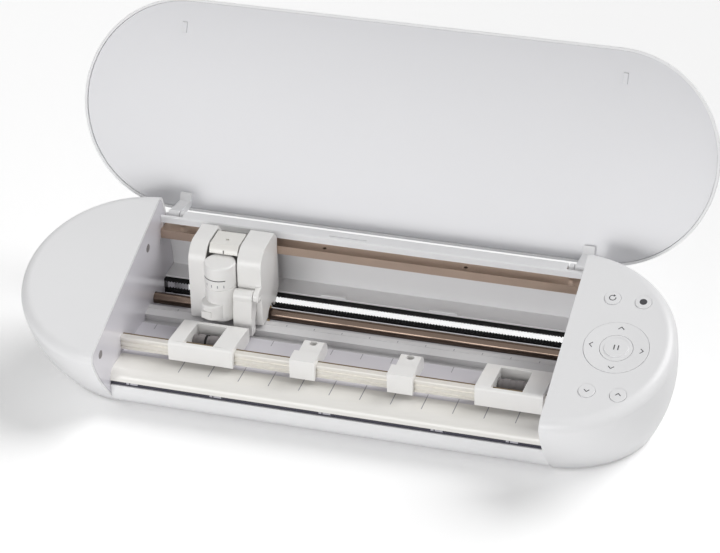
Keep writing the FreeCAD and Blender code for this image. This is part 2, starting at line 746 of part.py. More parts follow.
def make_lid_arms():
    """Goose-neck arms from the hinge pins to the lid panel."""
    y1, z1 = tilt_point(LID_R - LID_WALL - 1.5, lid_base_n() + LID_PANEL_STEP)
    y2, z2 = tilt_point(LID_R - ARM_FOOT, lid_base_n() + LID_PANEL_STEP)
    y3, z3 = tilt_point(LID_R - ARM_FOOT, lid_base_n() - 2)
    y4, z4 = tilt_point(LID_R - 8, lid_base_n() - 3)
    arms = []
    for side in SIDES:
        profile = [(HINGE_Y + EYE_R, HINGE_Z), (y1, z1), (y2, z2), (y3, z3), (y4, z4),
                   (HINGE_Y - EYE_R, HINGE_Z), (HINGE_Y, HINGE_Z - EYE_R, "mid")]
        arm = prism(profile, ARM_X, ARM_X + ARM_T)
        arm = arm.cut(rod_x(PIN_R + PIN_FIT, ARM_X - 1, ARM_X + ARM_T + 1, HINGE_Y, HINGE_Z))
        arms.append(arm if side > 0 else mirrored(arm))
    return opened(Part.makeCompound(arms))


# ---- carriage ----
def cover_profile(inset):
    """Side outline of the carriage covers, drawn in by inset, as (y, z) points."""
    front = CAR_FRONT + inset
    back = cover_back() - inset
    top = CAR_TOP - inset
    foot = CAR_FOOT if inset == 0 else CAR_FOOT - 1
    return [(front, foot), (front, top - 17), (front + 4.5, top - 5, "mid"), (front + 15, top),
            (back - 6, top), (back, top - 7), (back, 60.0), (ROD_Y + 11, foot + 3), (ROD_Y + 7, foot)]


def cover_back():
    return RAIL_Y0 - GAP - 0.3


def make_carriage_cover(right):
    """Hollow cover, open to the middle, on one side of the carriage."""
    if right:
        x0, x1 = CAR_X1 - CAR_RIGHT_W, CAR_X1
        inner = prism(cover_profile(CAR_SKIN), x0 - 1, x1 - CAR_SKIN)
    else:
        x0, x1 = CAR_X0, CAR_X0 + CAR_LEFT_W
        inner = prism(cover_profile(CAR_SKIN), x0 + CAR_SKIN, x1 + 1)
    shell = prism(cover_profile(0), x0, x1).cut(inner)
    shell = shell.cut(rod_x(ROD_R + BUSH_WALL + 2.5, x0 - 1, x1 + 1, ROD_Y, ROD_Z))
    shoe = box(x0 - 1, x1 + 1, cover_back() - CAR_SKIN - 1, RAIL_Y1, RAIL_Z1 + GAP - FIT,
               RAIL_Z1 + GAP + SHOE_T + FIT)
    shell = shell.cut(shoe.common(box(CAR_X0 + 11, CAR_X1 - 11, 0, 60, 90, 110)))
    if right:
        y, z = lever_pivot()
        cheek = prism([(CAR_FRONT, z - 6), (y, z - 5), (y - 5, z, "mid"), (y, z + 5), (CAR_FRONT, z + 6)],
                      CAR_X1 - 5 + GAP, CAR_X1)
        hole = rod_x(PIN_R + PIN_FIT, CAR_X1 - 5, CAR_X1 + 1, y, z)
        shell = fuse([shell, cheek]).cut(hole)
    return shell


def lever_pivot():
    return CAR_FRONT - GAP - 4.4, 78.0


def carriage_span():
    return CAR_X0 + CAR_SKIN + FIT, CAR_X1 - CAR_SKIN - FIT


def make_carriage_body():
    """Frame behind the covers: back plate, rail shoe, two bearing barrels and the belt jaws."""
    x0, x1 = carriage_span()
    back = cover_back() - CAR_SKIN - FIT
    front = CAR_FRONT + 17
    top = RAIL_Z1 + GAP + SHOE_T
    plate = box(x0, x1, back - 8, back, 60, top)
    plate = plate.cut(box(x0 - 1, x0 + 9, back - 9, back + 1, 98, top + 1))
    plate = plate.cut(box(x1 - 9, x1 + 1, back - 9, back + 1, 98, top + 1))
    barrels = [rod_x(ROD_R + BUSH_WALL + 1.6, x, x + BUSH_L, ROD_Y, ROD_Z) for x in (x0, x1 - BUSH_L)]
    web = prism([(ROD_Y - 2, ROD_Z + 9), (ROD_Y + 6, ROD_Z + 6), (back, 62), (back, 70),
                 (front, 70), (front, 62)], x0, x1)
    shoe = prism([(back - 8, RAIL_Z1 + GAP), (RAIL_Y1 + GAP, RAIL_Z1 + GAP), (RAIL_Y1 + GAP, RAIL_Z0),
                  (RAIL_Y1 + GAP + SHOE_HOOK, RAIL_Z0), (RAIL_Y1 + GAP + SHOE_HOOK, top), (back - 8, top)],
                 x0 + SHOE_END, x1 - SHOE_END)
    guide = box(TOOL_X - 11, TOOL_X + 11, front, back - 6, 62, BLOCK_Z0)
    body = fuse([plate, web, shoe, guide, belt_clip(back)] + barrels)
    return body.cut(rod_x(ROD_R + BUSH_WALL, x0 - 1, x1 + 1, ROD_Y, ROD_Z))


def belt_clip(back):
    """Jaws over and under the belt's upper run, on a web that hangs from the back plate."""
    x0 = TOOL_X - 8
    x1 = TOOL_X + 8
    belt_y0 = BELT_Y - BELT_W / 2
    belt_y1 = BELT_Y + BELT_W / 2
    under = BELT_Z + BELT_TIP - GAP
    over = BELT_Z + BELT_TIP + TOOTH_H + BELT_T + GAP
    top = SHELF_Z - SHELF_T - GAP
    upper = box(x0, x1, back - 8, belt_y1, over, top)
    lower = box(x0, x1, back - 8, belt_y1, under - 2.5, under)
    web = box(x0, x1, back - 8, belt_y0 - GAP, under - 2.5, top)
    hanger = box(x0, x1, back - 8, back, top, 62)
    return fuse([upper, lower, web, hanger])


def make_carriage_bushes():
    x0, x1 = carriage_span()
    bushes = []
    for start in (x0, x1 - BUSH_L):
        ring = rod_x(ROD_R + BUSH_WALL, start, start + BUSH_L, ROD_Y, ROD_Z)
        bushes.append(ring.cut(rod_x(ROD_R + RUN, start - 1, start + BUSH_L + 1, ROD_Y, ROD_Z)))
    return Part.makeCompound(bushes)


def make_clamp_block():
    """Cream block behind the dial with a small hole and a flat index face."""
    x0 = TOOL_X - 12.2
    x1 = TOOL_X + 12.2
    front = TOOL_Y + 9.5
    low = BLOCK_Z0
    top = CAR_TOP - 0.8
    block = prism([(front, low), (front + 1, top - 3), (front + 4, top), (front + 24, top),
                   (front + 24, low)], x0, x1)
    return block.cut(rod_z(1.4, top - 3, top + 1, TOOL_X, front + 12))


def make_tool_holder():
    """Sleeve that carries the blade cartridge, with a rounded clamp boss and a guide key."""
    sleeve = rod_z(HOLDER_R, HOLDER_Z0 + 4, DIAL_Z0 - GAP, TOOL_X, TOOL_Y)
    nose = Part.makeCone(HOLDER_R - 5, HOLDER_R, 4, V(TOOL_X, TOOL_Y, HOLDER_Z0), Z_AXIS)
    boss_x = TOOL_X + BOSS_DX
    boss_y = TOOL_Y + BOSS_DY
    boss = rod_z(BOSS_R, HOLDER_Z0 + 7, HOLDER_Z0 + 20, boss_x, boss_y)
    boss = boss.makeFillet(1.5, [e for e in boss.Edges if e.BoundBox.ZMin > HOLDER_Z0 + 19.9])
    button = box(boss_x - 7, boss_x + 1, boss_y - BOSS_R - 1, boss_y - 6, HOLDER_Z0 + 9.3, HOLDER_Z0 + 15)
    key = box(TOOL_X - 5, TOOL_X + 5, TOOL_Y, CAR_FRONT + 17 - GAP, 64, DIAL_Z0 - GAP)
    spindle = rod_z(5.0, DIAL_Z0 - GAP, DIAL_Z1 - 3, TOOL_X, TOOL_Y)
    holder = fuse([sleeve, nose, boss, button, key, spindle])
    return holder.cut(rod_z(3.0, 40, 70, TOOL_X, TOOL_Y))


def make_blade():
    """Steel blade and its collar, pointing down at the cutting strip."""
    collar = rod_z(3.0, HOLDER_Z0 - 0.8, 70, TOOL_X, TOOL_Y)
    tip = Part.makeCone(0.3, 1.4, HOLDER_Z0 - 0.8 - TIP_Z, V(TOOL_X, TOOL_Y, TIP_Z), Z_AXIS)
    return fuse([collar, tip])


def make_depth_dial():
    """Large round dial with a knurled rim and a shallow cup in its top."""
    drum = rod_z(DIAL_R, DIAL_Z0, DIAL_Z1, TOOL_X, TOOL_Y)
    top_edges = [e for e in drum.Edges if e.BoundBox.ZMin > DIAL_Z1 - 0.01]
    drum = drum.makeFillet(1.5, top_edges)
    groove = rod_z(DIAL_R + 1, DIAL_Z0 + 9, DIAL_Z0 + 9.8, TOOL_X, TOOL_Y)
    groove = groove.cut(rod_z(DIAL_R - 0.6, DIAL_Z0 + 8, DIAL_Z0 + 11, TOOL_X, TOOL_Y))
    drum = drum.cut(groove)
    bore = rod_z(5.0 + RUN, DIAL_Z0 - 1, DIAL_Z1 - 3 + GAP, TOOL_X, TOOL_Y)
    return drum.cut(bore)


def make_clamp_lever():
    """Rocker lever beside the tool, rounded at its pivot, that locks the cartridge."""
    x1 = CAR_X1 - 5
    x0 = x1 - LEVER_W
    back = CAR_FRONT - GAP
    y, z = lever_pivot()
    lever = prism([(back - 4, 44), (back - 4, 54), (back, 60), (back, z - 2), (y, z + 5, "mid"),
                   (y - 6, z - 3), (back - 13, 62), (back - 13, 44)], x0, x1)
    return fuse([lever, rod_x(PIN_R, x1 - 3, CAR_X1 - 0.5, y, z)])


# ---- pinch units ----
def bar_hole(x0, x1):
    return box(x0, x1, BAR_Y0 - BAR_RUN, bar_back(), BAR_Z0 - BAR_RUN, BAR_Z1 + BAR_RUN)


def bar_back():
    return BAR_Y1 + 2 * BAR_ROD_R + BAR_RUN


def roller_z():
    return PLATEN_Z + FEED_RISE + ROLLER_GAP + ROLLER_R


def make_large_pinch(x0):
    """Window frame that rides on the bar and carries a wide roller."""
    x1 = x0 + LARGE_W
    rear = PINCH_Z1 - PINCH_FALL
    profile = [(PINCH_Y0, PINCH_Z0), (PINCH_Y0, PINCH_Z1 - 3), (PINCH_Y0 + 0.9, PINCH_Z1 - 0.9, "mid"),
               (PINCH_Y0 + 3, PINCH_Z1), (PINCH_Y1 - 3, rear), (PINCH_Y1 - 0.8, rear - 1.2, "mid"),
               (PINCH_Y1, rear - 4), (PINCH_Y1, PINCH_Z0 + 3), (PINCH_Y1 - 2, PINCH_Z0)]
    frame = prism(profile, x0, x1)
    window = box(x0 + WINDOW_LEFT, x1 - WINDOW_RIGHT, PINCH_Y0 + 2.4, PINCH_Y1 - 6, 0, PINCH_Z1 + 1)
    frame = frame.cut(window).cut(bar_hole(x0 - 1, x1 + 1))
    frame = frame.cut(box(x0 - 1, x1 + 1, BAR_Y0 + 1, BAR_Y1 - 1, PINCH_Z0 - 1, BAR_Z0))
    a, b = x0 + WINDOW_LEFT - 3, x1 - WINDOW_RIGHT + 3
    return frame.cut(rod_x(AXLE_R + RUN, a, b, FEED_Y, roller_z()))


def make_large_roller(x0):
    """Rubber-ringed roller on its own axle."""
    a = x0 + WINDOW_LEFT + GAP
    b = x0 + LARGE_W - WINDOW_RIGHT - GAP
    drum = rod_x(ROLLER_R - 0.6, a, b, FEED_Y, roller_z())
    rings = [rod_x(ROLLER_R, a + 4, a + 10, FEED_Y, roller_z()),
             rod_x(ROLLER_R, b - 10, b - 4, FEED_Y, roller_z())]
    axle = rod_x(AXLE_R, a - 3, b + 3, FEED_Y, roller_z())
    return fuse([drum, axle] + rings)


def make_small_pinch(x0):
    """Narrow cap on the bar with a rounded arm behind it for a small roller."""
    x1 = x0 + SMALL_W
    cap = box(x0, x1, PINCH_Y0, bar_back() + 1.4, PINCH_Z0, PINCH_Z1)
    arm_y = FEED_Y + 1
    a0, a1 = x0 + 3, x1 - 1
    arm = prism([(bar_back(), 46.5), (bar_back(), PINCH_Z1 - 2),
                 (arm_y + 3, PINCH_Z1 - 1), (arm_y + 9, 56, "mid"), (arm_y + 9.5, 46.5)], a0, a1)
    body = fuse([cap, arm])
    body = body.cut(bar_hole(x0 - 1, x1 + 1))
    body = body.cut(box(x0 - 1, x1 + 1, BAR_Y0 + 1, BAR_Y1 - 1, PINCH_Z0 - 1, BAR_Z0))
    body = body.cut(rod_x(ROLLER_R + 0.6, a0 + 2.4, a1 - 2.4, FEED_Y, roller_z()))
    body = body.cut(box(a0 + 2.4, a1 - 2.4, FEED_Y - ROLLER_R - 0.6, FEED_Y + ROLLER_R + 0.6, 40, roller_z()))
    body = body.cut(rod_z(3.2, 50, 70, (a0 + a1) / 2, FEED_Y + 2))
    return body.cut(rod_x(AXLE_R + RUN, a0 + 1, a1 - 1, FEED_Y, roller_z()))


def make_small_roller(x0):
    a = x0 + 3 + 2.4 + GAP
    b = x0 + SMALL_W - 1 - 2.4 - GAP
    drum = rod_x(ROLLER_R, a, b, FEED_Y, roller_z())
    return fuse([drum, rod_x(AXLE_R, a - 1.2, b + 1.2, FEED_Y, roller_z())])


# ---- controls ----
def control_hole(radius, u, v):
    return Part.makeCylinder(radius + GAP - 0.1, 20, V(u, v, TOP_N - 10), Z_AXIS)


def make_right_cover():
    cover = make_cover()
    holes = [control_hole(BUTTON_R, u, v) for u in BUTTON_U for v in BUTTON_V]
    holes.append(control_hole(RING_R, RING_U, RING_V))
    return cover.cut(tilted(Part.makeCompound(holes)))


def make_button(u, v):
    top = TOP_N + BUTTON_RISE
    under = TOP_N - COVER_T - GAP
    cap = Part.makeCylinder(BUTTON_R, top - under, V(u, v, under), Z_AXIS)
    cap = cap.makeFillet(0.5, [e for e in cap.Edges if e.BoundBox.ZMin > top - 0.01])
    flange = Part.makeCylinder(BUTTON_R + FLANGE_W, FLANGE_H, V(u, v, under - FLANGE_H), Z_AXIS)
    return tilted(fuse([cap, flange]))


def make_nav_ring():
    """Dished direction ring with a flange under the cover."""
    top = TOP_N + 0.3
    under = TOP_N - COVER_T - RING_PLAY
    ring = Part.makeCylinder(RING_R, top - under, V(RING_U, RING_V, under), Z_AXIS)
    flange = Part.makeCylinder(RING_R + FLANGE_W, FLANGE_H, V(RING_U, RING_V, under - FLANGE_H), Z_AXIS)
    ring = fuse([ring, flange])
    dish = Part.makeSphere(220, V(RING_U, RING_V, top + 220 - 1.4))
    ring = ring.cut(dish)
    return tilted(ring.cut(control_hole(PAUSE_R, RING_U, RING_V)))


def make_pause_button():
    top = TOP_N - 0.6
    under = TOP_N - COVER_T - GAP - FLANGE_H
    disc = Part.makeCylinder(PAUSE_R, top - under, V(RING_U, RING_V, under), Z_AXIS)
    cap = Part.makeCylinder(9.4, 0.8, V(RING_U, RING_V, top), Z_AXIS)
    return tilted(fuse([disc, cap]))


def board_top():
    return TOP_N - COVER_T - RING_PLAY - FLANGE_H - BUTTON_TRAVEL - GAP


def make_main_board():
    """Circuit board under the controls, hung from the cover by four posts."""
    top = board_top()
    board = box(RING_U - 31, RING_U + 20, BUTTON_V[0] - 8, BUTTON_V[1] + 8, top - BOARD_T, top)
    posts = []
    for u, v in ((RING_U - 29, -38), (RING_U - 29, 33)):
        posts.append(Part.makeCylinder(1.6, TOP_N - COVER_T - top, V(u, v, top), Z_AXIS))
    chips = [box(RING_U - 12, RING_U + 4, v, v + 14, top - BOARD_T - 2, top - BOARD_T) for v in (-30, 0)]
    return tilted(fuse([board] + posts + chips))


def socket_bodies(grow):
    """Round power inlet and square data socket, larger all round by grow."""
    x = POD_X + 14
    inlet = rod_y(5.0 + grow, SOCKET_Y, SOCKET_Y + 40, x, 30)
    data = box(x + 9 - grow, x + 21 + grow, SOCKET_Y, SOCKET_Y + 40, 24 - grow, 35 + grow)
    return inlet, data


def make_rear_sockets():
    """Power inlet and data socket in the back of the right-hand end."""
    room = skirt_solid(0.6)
    inlet, data = [body.common(room) for body in socket_bodies(0)]
    x = POD_X + 14
    inlet = inlet.cut(rod_y(3.2, SOCKET_Y + 3, SOCKET_Y + 50, x, 30)).fuse(rod_y(1.0, SOCKET_Y, SOCKET_Y + 8, x, 30))
    data = data.cut(box(x + 10.5, x + 19.5, SOCKET_Y + 3, SOCKET_Y + 50, 25.5, 33.5))
    return Part.makeCompound([inlet, data])


def all_parts():
    """Every node of the machine at rest, by name."""
    skirt = make_skirt()
    parts = {
        "base_pan": make_base_pan(),
        "left_skirt": mirrored(skirt),
        "right_skirt": skirt.cut(Part.makeCompound(socket_bodies(FIT))),
        "left_top_cover": mirrored(make_cover()),
        "right_top_cover": make_right_cover(),
        "left_side_wall": make_side_wall(False),
        "right_side_wall": make_side_wall(True),
        "rear_housing": make_rear_housing(),
        "hinge_ledge": make_hinge_ledge(),
        "hinge_ears": make_hinge_ears(),
        "front_panel": make_front_panel(),
        "front_slot": make_front_slot(),
        "front_apron": make_front_apron(),
        "platen": make_platen(),
        "cutting_strip": make_cutting_strip(),
        "rear_platen": make_rear_platen(),
        "upper_rail": make_upper_rail(),
        "guide_shaft": make_guide_shaft(),
        "pinch_bar": make_pinch_bar(),
        "bar_rod": make_bar_rod(),
        "drive_belt": make_belt(),
        "carriage_motor": make_carriage_motor(),
        "feed_motor": make_feed_motor(),
        "idler_bracket": make_idler_bracket(),
        "main_board": make_main_board(),
        "rear_sockets": make_rear_sockets(),
        "feed_bushes": make_bushes(),
        "lid_bumpers": make_bumpers(),
        "feet": make_feet(),
        "lid_shell": make_lid_shell(),
        "lid_panel": make_lid_panel(),
        "lid_arms": make_lid_arms(),
        "carriage_body": make_carriage_body(),
        "carriage_left_cover": make_carriage_cover(False),
        "carriage_right_cover": make_carriage_cover(True),
        "carriage_bushes": make_carriage_bushes(),
        "clamp_block": make_clamp_block(),
        "tool_holder": make_tool_holder(),
        "blade": make_blade(),
        "depth_dial": make_depth_dial(),
        "clamp_lever": make_clamp_lever(),
        "feed_roller": make_feed_roller(),
        "feed_gear": make_feed_gear(),
        "motor_pinion": make_motor_pinion(),
        "drive_pulley": make_pulley(1),
        "idler_pulley": make_pulley(-1),
        "nav_ring": make_nav_ring(),
        "pause_button": make_pause_button(),
    }
    names = (("down_button", "load_button"), ("up_button", "power_button"))
    for u, row in zip(BUTTON_U, names):
        for v, name in zip(BUTTON_V, row):
            parts[name] = make_button(u, v)
    for x0, side in zip(LARGE_X, ("left", "right")):
        parts[side + "_pinch_housing"] = make_large_pinch(x0)
        parts[side + "_pinch_roller"] = make_large_roller(x0)
    for x0, side in zip(SMALL_X, ("mid_left", "mid_right")):
        parts[side + "_pinch_housing"] = make_small_pinch(x0)
        parts[side + "_pinch_roller"] = make_small_roller(x0)
    return parts


def origin_shift():
    """Depth of the open machine's middle, between the front seam and the lid's outer edge."""
    front = tilt_point(-SEAM_R, 0)[0]
    y, z = tilt_point(LID_ROUND - LID_R, lid_base_n() + LID_DEPTH - LID_ROUND)
    swing = math.radians(LID_SWING)
    rear = HINGE_Y + (y - HINGE_Y) * math.cos(swing) + (z - HINGE_Z) * math.sin(swing) + LID_ROUND
    return (front + rear) / 2


def main():
    os.makedirs("parts", exist_ok=True)
    shift = V(0, -origin_shift(), 0)
    for name, shape in all_parts().items():
        solid = shape.copy()
        solid.translate(shift)
        solid.exportStep("parts/" + name + ".step")


if __name__ == "__main__":
    main()
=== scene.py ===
"""Finishes, marks and small fittings for the desktop vinyl cutter, and the table it stands on."""
import json
import math

import bmesh
import bpy
from mathutils import Matrix, Vector


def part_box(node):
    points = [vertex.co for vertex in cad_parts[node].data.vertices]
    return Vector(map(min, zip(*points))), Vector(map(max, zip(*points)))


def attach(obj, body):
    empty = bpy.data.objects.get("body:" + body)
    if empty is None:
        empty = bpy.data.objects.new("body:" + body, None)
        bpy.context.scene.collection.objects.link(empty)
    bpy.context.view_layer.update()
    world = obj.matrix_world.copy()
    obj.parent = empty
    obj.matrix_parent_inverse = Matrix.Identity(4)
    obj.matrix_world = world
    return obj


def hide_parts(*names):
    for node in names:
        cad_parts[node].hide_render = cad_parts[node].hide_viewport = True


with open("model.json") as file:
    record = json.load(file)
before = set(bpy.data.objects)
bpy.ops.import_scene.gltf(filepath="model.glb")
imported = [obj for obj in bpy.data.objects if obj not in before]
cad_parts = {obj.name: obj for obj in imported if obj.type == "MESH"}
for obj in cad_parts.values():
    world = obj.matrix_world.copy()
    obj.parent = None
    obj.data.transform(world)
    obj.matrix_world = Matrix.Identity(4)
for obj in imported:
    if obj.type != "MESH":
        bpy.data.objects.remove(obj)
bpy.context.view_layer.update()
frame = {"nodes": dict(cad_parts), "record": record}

bl_info = {
    "name": "Vinyl Cutter Finishes",
    "version": (1, 0, 0),
    "blender": (4, 5, 0),
    "location": "View3D > Sidebar > Cutter",
    "description": "Gives the vinyl cutter its finishes, marks and symbols, and its table and lamps",
    "category": "Object",
}

# Lengths are in millimetres, apart from the boxes, the lamps and SAME_PLACE, which are in metres.
MM = 0.001
SAME_PLACE = 1e-7
WELD = 0.001                             # corners closer than this become one, as do the next
COPY_WELD = 0.002
FLAT = 0.4                               # degrees under which the faces of a solid's copy join
SHARP = 35.0                             # degrees past which an edge stays crisp
BUTTON_EDGE, HOUSING_EDGE = 0.6, 3       # times the round of the other edges
MIX_A, MIX_B, MIX_RESULT = 6, 7, 2       # the colour sockets of a mix node
TILT = math.radians(17.1)                # the top leans towards the user
SEAM = (-53.355, 94.8)                   # Y and Z of the seam plane's middle, millimetres
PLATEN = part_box("platen")
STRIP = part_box("cutting_strip")
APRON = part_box("front_apron")
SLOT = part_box("front_slot")
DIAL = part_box("depth_dial")
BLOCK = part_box("clamp_block")
INCH = 25.4
INK = 0.06                               # printed marks stand this proud

# casing
RAIL_END_SHADE_Y = (31.2, 32.3)               # front and back of the upright strip of painted shade on each side wall, beside the upper rail's end
RAIL_END_SHADE_Z = (88.0, 101.0)
SHELF_Z = 51.6                           # top of the shelf over the rear slot
SHELF_GAP = 0.1                          # between the bead's ends and the walls
BEAD_PROUD, BEAD_DROP, BEAD_RISE = 0.7, 1.2, 0.5
BEAD_ROUND = 0.3
SHELF_PADS = ((-44.4, -22.4), (49.2, 73.1))         # left and right end of each locating pad
PAD_PROUD, PAD_BACK, PAD_RISE = 0.5, 2.5, 2.0
PAD_ROUND = 0.4
SLOT_MARKS = (-168.3, -97.1, -5.5, 86.7, 147.5)     # left end of each mark in the front slot
SLOT_BARS = ((0.0, 2.4), (3.4, 6.4))     # start and width of the two bars of a mark
SLOT_BAR_LOW, SLOT_BAR_TALL, SLOT_BAR_THICK = 1.6, 1.5, 0.1

# feed path
APRON_MARKS = range(-5, 7)               # inches from the machine's middle
APRON_WALL = 2.2
APRON_ROUND = 9.0
APRON_STEPS = 14
LINE_HALF = 0.35                         # half the width of an inch line and of a strip tick
APRON_LINE_FRONT = 12                    # the long lines start this far behind the apron's front
APRON_LINE_BACK = 5                      # and end this far behind the platen's front
REAR_MARKS = range(-7, 7)                # inches, for the short lines at the platen's back
REAR_MARK_SHIFT, REAR_MARK_HALF, REAR_MARK_LONG = 9.5, 0.3, 8
STRIP_TICKS, STRIP_TICK_FIRST, STRIP_TICK_PITCH = 15, -155.5, 23.7
STRIP_TICK_ENDS = (5.5, 3)               # in front of the strip's back
BAND_PLACES = {"left_pinch": (0.46,), "right_pinch": (0.06, 0.94)}     # shares of the roller's length
BAND_WIDTH, BAND_PROUD, BAND_SUNK = 1.8, 0.1, 0.2

# carriage
DIAL_ARC = (212, 95)                     # start and sweep, degrees
DIAL_ARC_Z = (93.1, 93.9)
DIAL_TICKS = (232, 255, 278, 301)        # degrees
DIAL_TICK_SWEEP = 3.2
DIAL_TICK_Z = (87.0, 89.4)
INDEX_HALF, INDEX_BACK, INDEX_Z = 0.25, 0.6, (0.2, 3.2)

# controls
RING_CENTRE = (223.6, -4.5)              # in the sloping top's own frame, as are the next four
BUTTON_X = (210.4, 234.9)
BUTTON_Y = (-50.7, 44.4)
BUTTON_TOP = 8.7
PAUSE_TOP = 8.2
RING_MARKS = 19.6                        # radius of the four arrows on the ring
RING_DISH = (220.0, 6.9)                 # radius and floor of the ring's dished top
RING_ARROW = 2.6                         # half the width of an arrow, as is the next
BUTTON_ARROW = 2.3
LOAD_RADIUS = 2.5
LOAD_ARC = (75, 300)                     # start and sweep of the load arrow, degrees
LOAD_TIP = (0.26, 0.97)                  # its start, in shares of its radius
LOAD_HEAD = ((-0.2, -1.2), (1.5, 0), (-0.2, 1.2))
POWER_RADIUS = 3.0
DISC_SIDES = 32
PAUSE_APART = 1.6                        # from the ring's centre to the middle of each bar
PAUSE_HALF = (0.45, 2.4)                 # half the width and length of a bar

# stage
TABLE_LIFT = 0.22                        # carries the lit table to plain white in the camera's view
SEEN_STRENGTH = 1.0                      # the world as the camera and reflections meet it
FILL_STRENGTH = 0.26                     # the world as a light
TOP_LAMP = {"way": (0.7, 0.5, 1.0), "spread": 42, "power": 1.9}
FRONT_LAMP = {"place": (-0.4, -2.3, 0.55), "aim": (0, 0, 0.1), "size": (1.8, 0.9), "power": 24}
CAMERA_PLACE = (574.6, -1836.6, 1288.0)
CAMERA_LENS = 139.56
CAMERA_AZIMUTH, CAMERA_HEIGHT, CAMERA_ROLL = 17.4, 31.8, -1.5          # degrees
SENSOR_WIDTH = 36.0
CLIP_END = 50.0

SLOTS = {part["node"]: part["material_slot"] for part in frame["record"]["subparts"]}


def linear(code):
    """Linear red, green and blue of an sRGB hex colour."""
    channels = [int(code[i:i + 2], 16) / 255 for i in (0, 2, 4)]
    return tuple(c / 12.92 if c <= 0.04045 else ((c + 0.055) / 1.055) ** 2.4 for c in channels)


def colour(name, code, description):
    return bpy.props.FloatVectorProperty(name=name, description=description, default=linear(code),
                                         subtype="COLOR", min=0.0, max=1.0)


def length(name, millimetres, description):
    return bpy.props.FloatProperty(name=name, description=description, default=millimetres * MM,
                                   unit="LENGTH", min=0.0, precision=5)


class CutterColours(bpy.types.PropertyGroup):
    casing: colour("Casing", "EFEFF0", "White plastic of the rounded ends and the lid")
    bay: colour("Bay walls", "DCDAE0", "Cooler plastic inside the cutting bay")
    lid_inside: colour("Lid inside", "DFDFE2", "Inner panel of the lid")
    cream: colour("Cream", "EFEDE8", "Front apron")
    units: colour("Units", "F3F2F0", "Carriage and pinch units")
    rail: colour("Rail", "C9B3A2", "Bronze anodised upper rail")
    shaft: colour("Shaft", "75665C", "Browned steel guide shaft")
    bar: colour("Bar", "EAE7E1", "Pale anodised pinch bar")
    rubber: colour("Rubber", "8A8585", "Grey rubber of the pinch rollers")
    ink: colour("Ink", "3A3A3E", "Printed symbols and scale marks")


class CutterSizes(bpy.types.PropertyGroup):
    edge: length("Edge round", 0.35, "Radius of the small rounds on moulded edges")
    stroke: length("Symbol stroke", 0.7, "Width of the lines in the symbols")
    floor: length("Table", 9000.0, "Side of the table top")


# ---- materials ----
def add(tree, kind, settings=None, links=None):
    """Adds one node with its settings and its incoming links."""
    made = tree.nodes.new(kind)
    for key, value in (settings or {}).items():
        if key in made.inputs:
            made.inputs[key].default_value = value
        else:
            setattr(made, key, value)
    for key, source in (links or {}).items():
        tree.links.new(source, made.inputs[key])
    return made


def surface(name, base, roughness, **sockets):
    """New material with a principled shader; returns it with its tree and shader."""
    material = bpy.data.materials.new(name)
    material.use_nodes = True
    material.diffuse_color = (*base, 1.0)
    shader = material.node_tree.nodes["Principled BSDF"]
    shader.inputs["Base Color"].default_value = (*base, 1.0)
    shader.inputs["Roughness"].default_value = roughness
    for key, value in sockets.items():
        shader.inputs[key.replace("_", " ")].default_value = value
    return material, material.node_tree, shader


def grain(tree, shader, size_mm, depth_mm, strength=1.0, stretch=(1, 1, 1)):
    """Fine relief of the given size and depth on object coordinates."""
    place = add(tree, "ShaderNodeTexCoord")
    turned = add(tree, "ShaderNodeMapping", {"Scale": stretch}, {"Vector": place.outputs["Object"]})
    noise = add(tree, "ShaderNodeTexNoise", {"Scale": 1000 / size_mm, "Detail": 3.0},
                {"Vector": turned.outputs["Vector"]})
    bump = add(tree, "ShaderNodeBump", {"Distance": depth_mm * MM, "Strength": strength},
               {"Height": noise.outputs["Fac"]})
    tree.links.new(bump.outputs["Normal"], shader.inputs["Normal"])
    return noise


def mottle(tree, shader, base, change, size_mm):
    """Slow drift of the colour over the surface, as on large mouldings."""
    place = add(tree, "ShaderNodeTexCoord")
    noise = add(tree, "ShaderNodeTexNoise", {"Scale": 1000 / size_mm, "Detail": 2.0},
                {"Vector": place.outputs["Object"]})
    darker = tuple(c * (1 - change) for c in base)
    mix = add(tree, "ShaderNodeMix", {"data_type": "RGBA"}, {"Factor": noise.outputs["Fac"]})
    mix.inputs[MIX_A].default_value = (*base, 1.0)
    mix.inputs[MIX_B].default_value = (*darker, 1.0)
    tree.links.new(mix.outputs[MIX_RESULT], shader.inputs["Base Color"])


def moulded_abs(name, base, roughness=0.34):
    """ABS from a fine spark-eroded mould: a soft even sheen with a barely seen grain."""
    material, tree, shader = surface(name, base, roughness, IOR=1.54)
    mottle(tree, shader, base, 0.03, 60)
    grain(tree, shader, 0.5, 0.006)
    return material


def polished_abs(name, base):
    """ABS from a polished mould: clear reflections with a slight orange peel."""
    material, tree, shader = surface(name, base, 0.2, IOR=1.54)
    mottle(tree, shader, base, 0.02, 90)
    grain(tree, shader, 6.0, 0.01)
    return material


def anodised_aluminium(name, base, roughness=0.38):
    """Drawn and anodised aluminium: long fine lines along the bar under a satin skin."""
    material, tree, shader = surface(name, base, roughness, Metallic=0.85)
    mottle(tree, shader, base, 0.08, 40)
    grain(tree, shader, 0.4, 0.01, 0.7, (0.01, 1, 1))
    return material


def ground_steel(name, base, roughness=0.22):
    """Centreless-ground shaft: hard narrow highlight with faint rings round it."""
    material, tree, shader = surface(name, base, roughness, Metallic=1.0)
    mottle(tree, shader, base, 0.1, 30)
    grain(tree, shader, 0.6, 0.004, 0.6, (1, 0.05, 0.05))
    return material


def moulded_rubber(name, base, roughness=0.7):
    """Moulded rubber: matt, with a dusty grain that kills reflections."""
    material, tree, shader = surface(name, base, roughness, IOR=1.5)
    mottle(tree, shader, base, 0.15, 8)
    grain(tree, shader, 0.3, 0.02)
    return material


